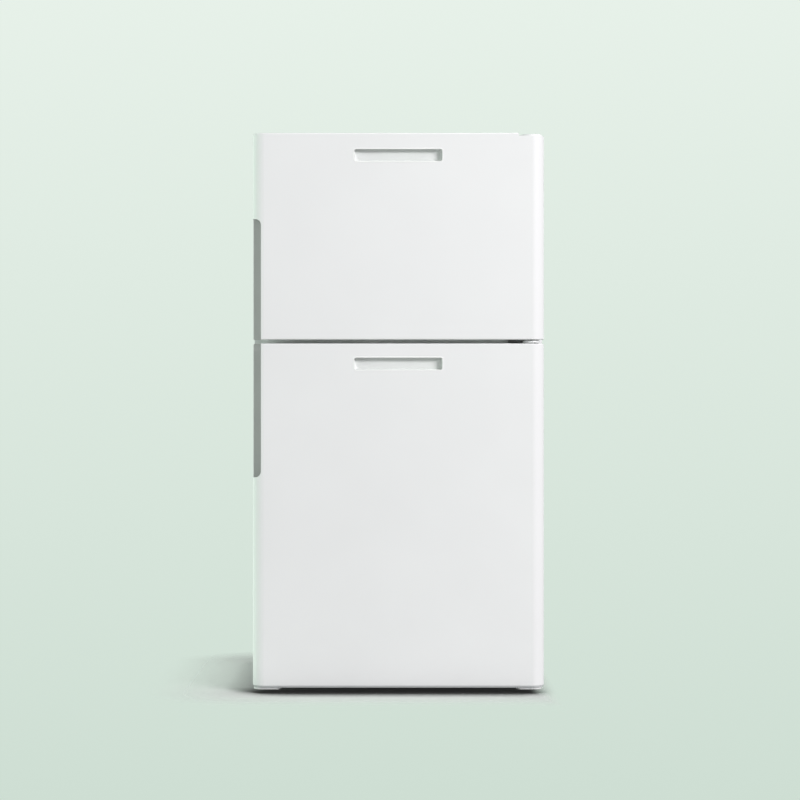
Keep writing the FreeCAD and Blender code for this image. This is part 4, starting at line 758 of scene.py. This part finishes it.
for door, (rim_low, rim_high) in RIM_Z.items():
    low, high = span(door + "_door_liner")
    base, back, crest = low.y + SHEET, low.y, high.y
    inner, outer = RIM_WIDE - CREST_IN, CREST_OUT
    rows = [(RIM_WIDE + FIELD, base), (RIM_WIDE + 2 * FOOT_R, base)]
    rows += [(RIM_WIDE + FOOT_R * (1 - math.sin(a)), base + FOOT_R * (1 - math.cos(a))) for a in QUARTER]
    rows += [(inner - CREST_R * (1 - math.cos(a)), crest - CREST_R * (1 - math.sin(a))) for a in QUARTER]
    rows += [(outer + CREST_R * (1 - math.sin(a)), crest - CREST_R * (1 - math.cos(a))) for a in QUARTER]
    rows += [(-FOOT_R * (1 - math.cos(a)), base + FOOT_R * (1 - math.sin(a))) for a in QUARTER]
    rows += [(-2 * FOOT_R, base)]
    hollow = [(SHEET, back), (SHEET + HOLLOW_LEAN, base + HOLLOW_FOOT), (SHEET + CREST_OUT, crest - HOLLOW_TOP),
              (SHEET + HOLLOW_R, crest - SHEET), (RIM_WIDE - SHEET - HOLLOW_R, crest - SHEET),
              (RIM_WIDE - SHEET - CREST_IN, crest - HOLLOW_TOP), (RIM_WIDE - SHEET, base + HOLLOW_FOOT),
              (RIM_WIDE - SHEET, back), (RIM_WIDE + FIELD, back)]
    edge = [(u, base + y) for u, y in BORDER_FRONT] + [(u, back + y) for u, y in BORDER_BACK]
    border = [ring((low.x + u, low.z + u), (high.x - u, high.z - u), BORDER_R, y, **RIM_POINTS) for u, y in edge]
    for points in border:
        for point in points:
            if point[0] > HINGE_STEP[0]:
                point[2] = min(point[2], HINGE_STEP[1])
    shape = bmesh.new()
    loft(shape, rim_rings(rim_low, rim_high, rows) + border + rim_rings(rim_low, rim_high, hollow))
    piece(door + "_door_liner_sheet", shape, liner_plastic, door + "_door_liner")

# Door gaskets: extruded soft PVC with a magnet in its front bulb and a folding bellows behind, mitred and welded
# at the corners and pushed into a groove of the liner. A flat strip of the same PVC under the upper door wipes the
# slit between the doors.
GASKET_SIDE = [(0.5, 0.0), (0.2, 1.3), (1.1, 2.1), (2.7, 3.0), (3.3, 3.7), (2.7, 4.4), (1.2, 5.2), (0.5, 6.0),
               (0.3, 7.2), (0.2, 9.6), (0.5, 10.9), (1.5, 11.6)]
GASKET_HALF = 7.0
GASKET_DEEP = 11.7
GASKET_DIP = 0.3
GASKET_R, GASKET_R_LEAST = 3, 0.4
GASKET_SHARP = 50
WIPER_X = (-278, 226)
WIPER_Y = (-270, -268)
WIPER_R = 0.9
WIPER_SIDE = ((0.6, -6.4), (0.15, -6.1), (0, -5.6), (0, 2))  # inset and height over the door's foot

# Soft PVC, extruded: off-white and satin, with faint drawing lines.
gasket_pvc = surface("soft_pvc", "#E9EBEA", "#DFE2E0", drift=60, grain=1.2, relief=0.02,
                     rough=(0.5, 0.6), shader={"IOR": 1.53})
for gasket in ("upper_door_gasket", "lower_door_gasket"):
    low, high = span(gasket)
    bulb = (high.y - low.y) / GASKET_DEEP
    section = [(u, low.y + y * bulb) for u, y in GASKET_SIDE]
    section += [(GASKET_HALF, high.y - GASKET_DIP)] + [(2 * GASKET_HALF - u, y) for u, y in reversed(section)]
    shape = bmesh.new()
    loft(shape, [ring((low.x + u, low.z + u), (high.x - u, high.z - u), max(GASKET_R - u, GASKET_R_LEAST), y,
                      axis=1, corner=3) for u, y in section], loop=True)
    piece(gasket + "_bellows", shape, gasket_pvc, gasket, sharp=GASKET_SHARP)
door_foot = span("upper_door_skin")[0].z
shape = bmesh.new()
loft(shape, [ring((WIPER_X[0] + inset, WIPER_Y[0] + inset), (WIPER_X[1] - inset, WIPER_Y[1] - inset),
                  WIPER_R * (1 - inset), door_foot + up) for inset, up in WIPER_SIDE])
piece("upper_door_wiper", shape, gasket_pvc, "upper_door_gasket", instead=False)

# Pull cups: white ABS mouldings behind the slots in the doors' skins, scooped at both ends, with a hook of space
# above the slot's edge for the fingers.
CUP_WALL = 2.0
CUP_SCOOP = 4.0
CUP_FILLET = 4.0
CUP_BOW = 8
CUP_GROW = 6
CUP_R = 6.0
CUP_TURNS = (90, 78, 66, 54, 42, 30, 18, 6)
CUP_CORNER = 8
CUP_FRONT = [(0.5, 0), (0, 0.5)]
CUP_BACK = [(0, -4), (1.0, -1.0), (4.0, CUP_WALL)]
SLOT_TALL = 25.0
SLOT_R = 4.0
HOOK_SIDE = ((0.8, 4.6), (2.6, 3.2))  # depth under the hook's top, and behind the skin
SLOT_SIDE = ((0, 2.0, 2.6), (0, 0.6, 2.3), (0, 0, 1.7), (0, 0, 0.3), (-0.3, 0.3, 0.0))
for cup in ("upper_handle_cup", "lower_handle_cup"):
    low, high = span(cup)
    floor_z, slot_top, hook_top = low.z + CUP_WALL, low.z + CUP_WALL + SLOT_TALL, high.z - CUP_WALL
    deep = high.y - low.y - CUP_WALL
    rows = []
    for a in CUP_TURNS:
        turn = 1 - math.cos(math.radians(a))
        rows.append((CUP_SCOOP * turn, CUP_FILLET * turn, hook_top - CUP_FILLET * turn,
                     deep - CUP_BOW * (1 - math.sin(math.radians(a))), SLOT_R + CUP_GROW * turn))
    rows += [(0, 0, hook_top - down, back, SLOT_R) for down, back in HOOK_SIDE]
    rows += [(inset, inset, slot_top + up, back, SLOT_R) for inset, up, back in SLOT_SIDE]
    rings = [ring((-SLOT_HALF + end, floor_z + up), (SLOT_HALF - end, top), r, low.y + back, axis=1,
                  corner=CUP_CORNER) for end, up, top, back, r in rows]
    for inset, back in CUP_FRONT + [(inset, deep + past) for inset, past in CUP_BACK]:
        rings.append(ring((low.x + inset, low.z + inset), (high.x - inset, high.z - inset), CUP_R, low.y + back,
                          axis=1, corner=CUP_CORNER))
    shape = bmesh.new()
    loft(shape, rings)
    piece(cup + "_moulding", shape, white_abs, cup)

# Slot frames: narrow rims of white ABS that are pushed into the slots from the front and cover the cut edge
# of the sheet. Their tone, whiter than the other mouldings, is a painted highlight round the slots.
FRAME_SIDE = [(0.3, 2.6), (0.3, -0.2), (0.1, -0.45), (-0.3, -0.6), (-1.7, -0.6), (-2.0, -0.45), (-2.15, -0.15),
              (-2.15, 0.0), (-0.1, 0.0), (-0.05, 2.6)]

# White ABS, polished in the tool, made the brightest white on the doors as a painted highlight round the slots.
highlight_white_abs = surface("polished_white_abs_painted_highlight", "#FAFBFA", "#F7F8F7", drift=50, grain=1.1, relief=0.004,
                     rough=(0.2, 0.28), shader={"IOR": 1.53})
for door in ("upper", "lower"):
    face = span(door + "_door_skin")[0].y
    bottom = span(door + "_handle_cup")[0].z + CUP_WALL
    shape = bmesh.new()
    loft(shape, [ring((-SLOT_HALF + u, bottom + u), (SLOT_HALF - u, bottom + SLOT_TALL - u), SLOT_R - u, face + y,
                      axis=1, corner=CUP_CORNER) for u, y in FRAME_SIDE], loop=True)
    piece(door + "_slot_frame", shape, highlight_white_abs, door + "_handle_cup", instead=False)

# Finger grips: ABS channels, injection moulded and pushed into the notches in the doors' left edges. Their grey
# tone is painted shade for the shade inside the notches. They are undercut towards the middle so that fingers hook
# in.
GRIP_EDGE = 0.8

# Moulded ABS, satin, with the same fine grain. Its grey, a step below the white parts, is painted shade.
grip_abs_painted_shade = surface("moulded_grip_abs_painted_shade", "#CACBCA", "#C4C5C4", drift=80, grain=1.1, relief=0.012,
                         rough=(0.4, 0.5), shader={"IOR": 1.53})
for grip in ("upper_side_grip", "lower_side_grip"):
    eased(grip, GRIP_EDGE, grip_abs_painted_shade)

# Door racks: clear polystyrene trays, moulded in one shot and hung between the raised sides of the liners. A
# bottle rack is low down, and shallower ones are above it.
RACK_WALL = 2.6
RACK_R, RACK_DOOR_R = 20, 4
RACK_FILLET = 6
RACK_DRAFT = 2.5
RACK_BANDS = (0.5, 0.78)
for rack in ("upper_door_pocket", "lower_door_pockets", "bottle_rack"):
    shape = bmesh.new()
    for low, high in islands(rack):
        tray(shape, low, high, [RACK_R, RACK_R, RACK_DOOR_R, RACK_DOOR_R], RACK_WALL, RACK_FILLET, RACK_DRAFT,
             RACK_BANDS)
    piece(rack + "_trays", shape, clear_plastic, rack)

# Studio floor: pale matt card that keeps the lamps' shadow close round the object. Its colour is darkened by
# painted contact shade from ambient occlusion, darkest in the last hand's breadth under the object's edge, where a
# faint painted glow lifts it. Away from the object it fades into a mint sweep of light, as on a product table.
FLOOR_R = 9.0
FOOTPRINT = (0.29, 0.29, 0.0)
FADE = (0.0, 0.24)
KEY_SIDE = (0.27, 0.33)
PAINTED_SHADE_REACH = 0.1
PAINTED_SHADE_AO_RANGE = (0.58, 0.9)
PAINTED_SHADE_SIDE_Y = (-0.29, -0.2)
PAINTED_SHADE_SIDE_LIFT = 0.66
CLOUD = 300
PAINTED_GLOW = 0.014

# Card under studio light: a shade off white, clouded so little that it looks even, and clear where it fades.
floor_finish, tree, place = new_material("mint_studio_floor")
across = add(tree, "VectorMath", {0: place}, operation="ABSOLUTE")[0]
outside = add(tree, "VectorMath", {0: across, 1: FOOTPRINT}, operation="SUBTRACT")[0]
outside = add(tree, "VectorMath", {0: outside, 1: (0, 0, 0)}, operation="MAXIMUM")[0]
away = add(tree, "VectorMath", {0: outside}, operation="LENGTH")["Value"]
axes = add(tree, "SeparateXYZ", {"Vector": place})
far = add(tree, "MapRange", {"Value": away, "From Min": FADE[0], "From Max": FADE[1]},
          interpolation_type="SMOOTHSTEP")[0]
key_side = add(tree, "MapRange", {"Value": axes["X"], "From Min": KEY_SIDE[0], "From Max": KEY_SIDE[1]},
               interpolation_type="SMOOTHSTEP")[0]
far = add(tree, "Math", {0: far, 1: key_side}, operation="MAXIMUM")[0]
paper = add(tree, "TexNoise", {"Vector": place, "Scale": 1 / (CLOUD * MM)})[0]
tone = add(tree, "Mix", {FACTOR: paper, TINT_A: linear("#DDDEDD"), TINT_B: linear("#DFE0DF")},
           data_type="RGBA")[TINT]
# Painted contact shade: ambient occlusion draws the floor's colour towards dark grey under and close round the
# object, and less so at its sides.
close = add(tree, "AmbientOcclusion", {"Distance": PAINTED_SHADE_REACH}, samples=8)["AO"]
under = add(tree, "MapRange", {"Value": close, "From Min": PAINTED_SHADE_AO_RANGE[0], "From Max": PAINTED_SHADE_AO_RANGE[1]})[0]
beside = add(tree, "MapRange", {"Value": axes["Y"], "From Min": PAINTED_SHADE_SIDE_Y[0], "From Max": PAINTED_SHADE_SIDE_Y[1],
                                "To Max": PAINTED_SHADE_SIDE_LIFT})[0]
painted_shade_free = add(tree, "Math", {0: under, 1: beside}, operation="MAXIMUM")[0]
tone = add(tree, "Mix", {FACTOR: painted_shade_free, TINT_A: linear("#3C3C3C"), TINT_B: tone}, data_type="RGBA")[TINT]
matt = add(tree, "BsdfDiffuse", {"Color": tone})[0]
# Painted glow: a faint emission in the floor lifts it most visibly where the painted and real shade is deepest.
painted_glow = add(tree, "Emission", {"Strength": PAINTED_GLOW})[0]
matt = add(tree, "AddShader", {0: matt, 1: painted_glow})[0]
clear = add(tree, "BsdfTransparent", {})[0]
blend = add(tree, "MixShader", {0: far, 1: matt, 2: clear})[0]
add(tree, "OutputMaterial", {"Surface": blend})
shape = bmesh.new()
bmesh.ops.create_circle(shape, cap_ends=True, radius=FLOOR_R, segments=96)
mesh = bpy.data.meshes.new("studio_floor")
shape.to_mesh(mesh)
shape.free()
mesh.materials.append(floor_finish)
studio_floor = bpy.data.objects.new("studio_floor", mesh)
bpy.context.scene.collection.objects.link(studio_floor)

# Studio sweep: the mint backdrop that the camera, gloss and glass see, paler towards the top. The object itself is
# lit by a plain grey room and by a wide mint sheet of light at the left.
SWEEP = (-0.168, 0.168)
LEFT_AT = (-0.99, 0.12, 0)
LEFT_SPAN = (0.55, 1.0)
ROOM_LEVEL, LEFT_LEVEL = 0.42, 2.35
world = bpy.data.worlds.new("mint_studio")
bpy.context.scene.world = world
world.use_nodes = True
tree = world.node_tree
tree.nodes.clear()
view = add(tree, "TexCoord", {})["Generated"]
height = add(tree, "SeparateXYZ", {"Vector": view})["Z"]
rise = add(tree, "MapRange", {"Value": height, "From Min": SWEEP[0], "From Max": SWEEP[1]})[0]
sweep = add(tree, "Mix", {FACTOR: rise, TINT_A: linear("#CEDED3"), TINT_B: linear("#E7F1E9")},
            data_type="RGBA")[TINT]
seen = add(tree, "Background", {"Color": sweep, "Strength": 1.0})[0]
toward_left = add(tree, "VectorMath", {0: view, 1: LEFT_AT}, operation="DOT_PRODUCT")["Value"]
sheet = add(tree, "MapRange", {"Value": toward_left, "From Min": LEFT_SPAN[0], "From Max": LEFT_SPAN[1]},
            interpolation_type="SMOOTHSTEP")[0]
even = add(tree, "Mix", {FACTOR: sheet, TINT_A: linear("#F8F8F8"), TINT_B: linear("#E0F8E6")},
           data_type="RGBA")[TINT]
level = add(tree, "MapRange", {"Value": sheet, "To Min": ROOM_LEVEL, "To Max": LEFT_LEVEL})[0]
fill = add(tree, "Background", {"Color": even, "Strength": level})[0]
path = add(tree, "LightPath", {})
direct = add(tree, "Math", {0: path["Is Camera Ray"], 1: path["Is Glossy Ray"]}, operation="MAXIMUM")[0]
direct = add(tree, "Math", {0: direct, 1: path["Is Transmission Ray"]}, operation="MAXIMUM")[0]
either = add(tree, "MixShader", {0: direct, 1: fill, 2: seen})[0]
add(tree, "OutputWorld", {"Surface": either})

# Lamps: a soft key box on a stand at the right, in front of the doors, and a wide strip on a boom over the object.
# The strip shows only as gleams on edges that face up, because its diffuse light is off.
AIM = Vector((0, -0.3, 0.6))
KEY_TURN, KEY_RISE, KEY_FAR = math.radians(43), math.radians(21), 6.1
KEY_SIZE, KEY_POWER = (2.4, 1.0), 262
STRIP_AT = (0.7, -0.7, 3.2)
STRIP_SIZE, STRIP_POWER = (1.8, 1.4), 110


def soft_lamp(name, size, power):
    """A rectangular soft lamp at the origin, shining down."""
    lamp = bpy.data.lights.new(name, "AREA")
    lamp.energy = power
    lamp.shape = "RECTANGLE"
    lamp.size, lamp.size_y = size
    held = bpy.data.objects.new(name, lamp)
    bpy.context.scene.collection.objects.link(held)
    return held


key = soft_lamp("key_softbox", KEY_SIZE, KEY_POWER)
key.data.color = linear("#FFFCFF")[:3]
level_share = math.cos(KEY_RISE)
toward = Vector((math.sin(KEY_TURN) * level_share, -math.cos(KEY_TURN) * level_share, math.sin(KEY_RISE)))
key.location = AIM + toward * KEY_FAR
key.rotation_euler = toward.to_track_quat("Z", "Y").to_euler()
strip = soft_lamp("top_strip", STRIP_SIZE, STRIP_POWER)
strip.location = STRIP_AT
strip.visible_diffuse = False

# Camera: level and square to the doors, on a stand across the studio. A long lens keeps the cabinet's sides
# parallel.
LENS_LONG, FILM_WIDE = 105.3, 36
CAMERA_AT = (0.0033, -5.105, 0.602)
SIGHT = 200
lens = bpy.data.cameras.new("front_camera")
lens.lens = LENS_LONG
lens.sensor_width = FILM_WIDE
lens.clip_end = SIGHT
camera = bpy.data.objects.new("front_camera", lens)
camera.location = CAMERA_AT
camera.rotation_euler = (math.radians(90), 0, 0)
bpy.context.scene.collection.objects.link(camera)
bpy.context.scene.camera = camera
bpy.context.scene.view_settings.view_transform = "Standard"
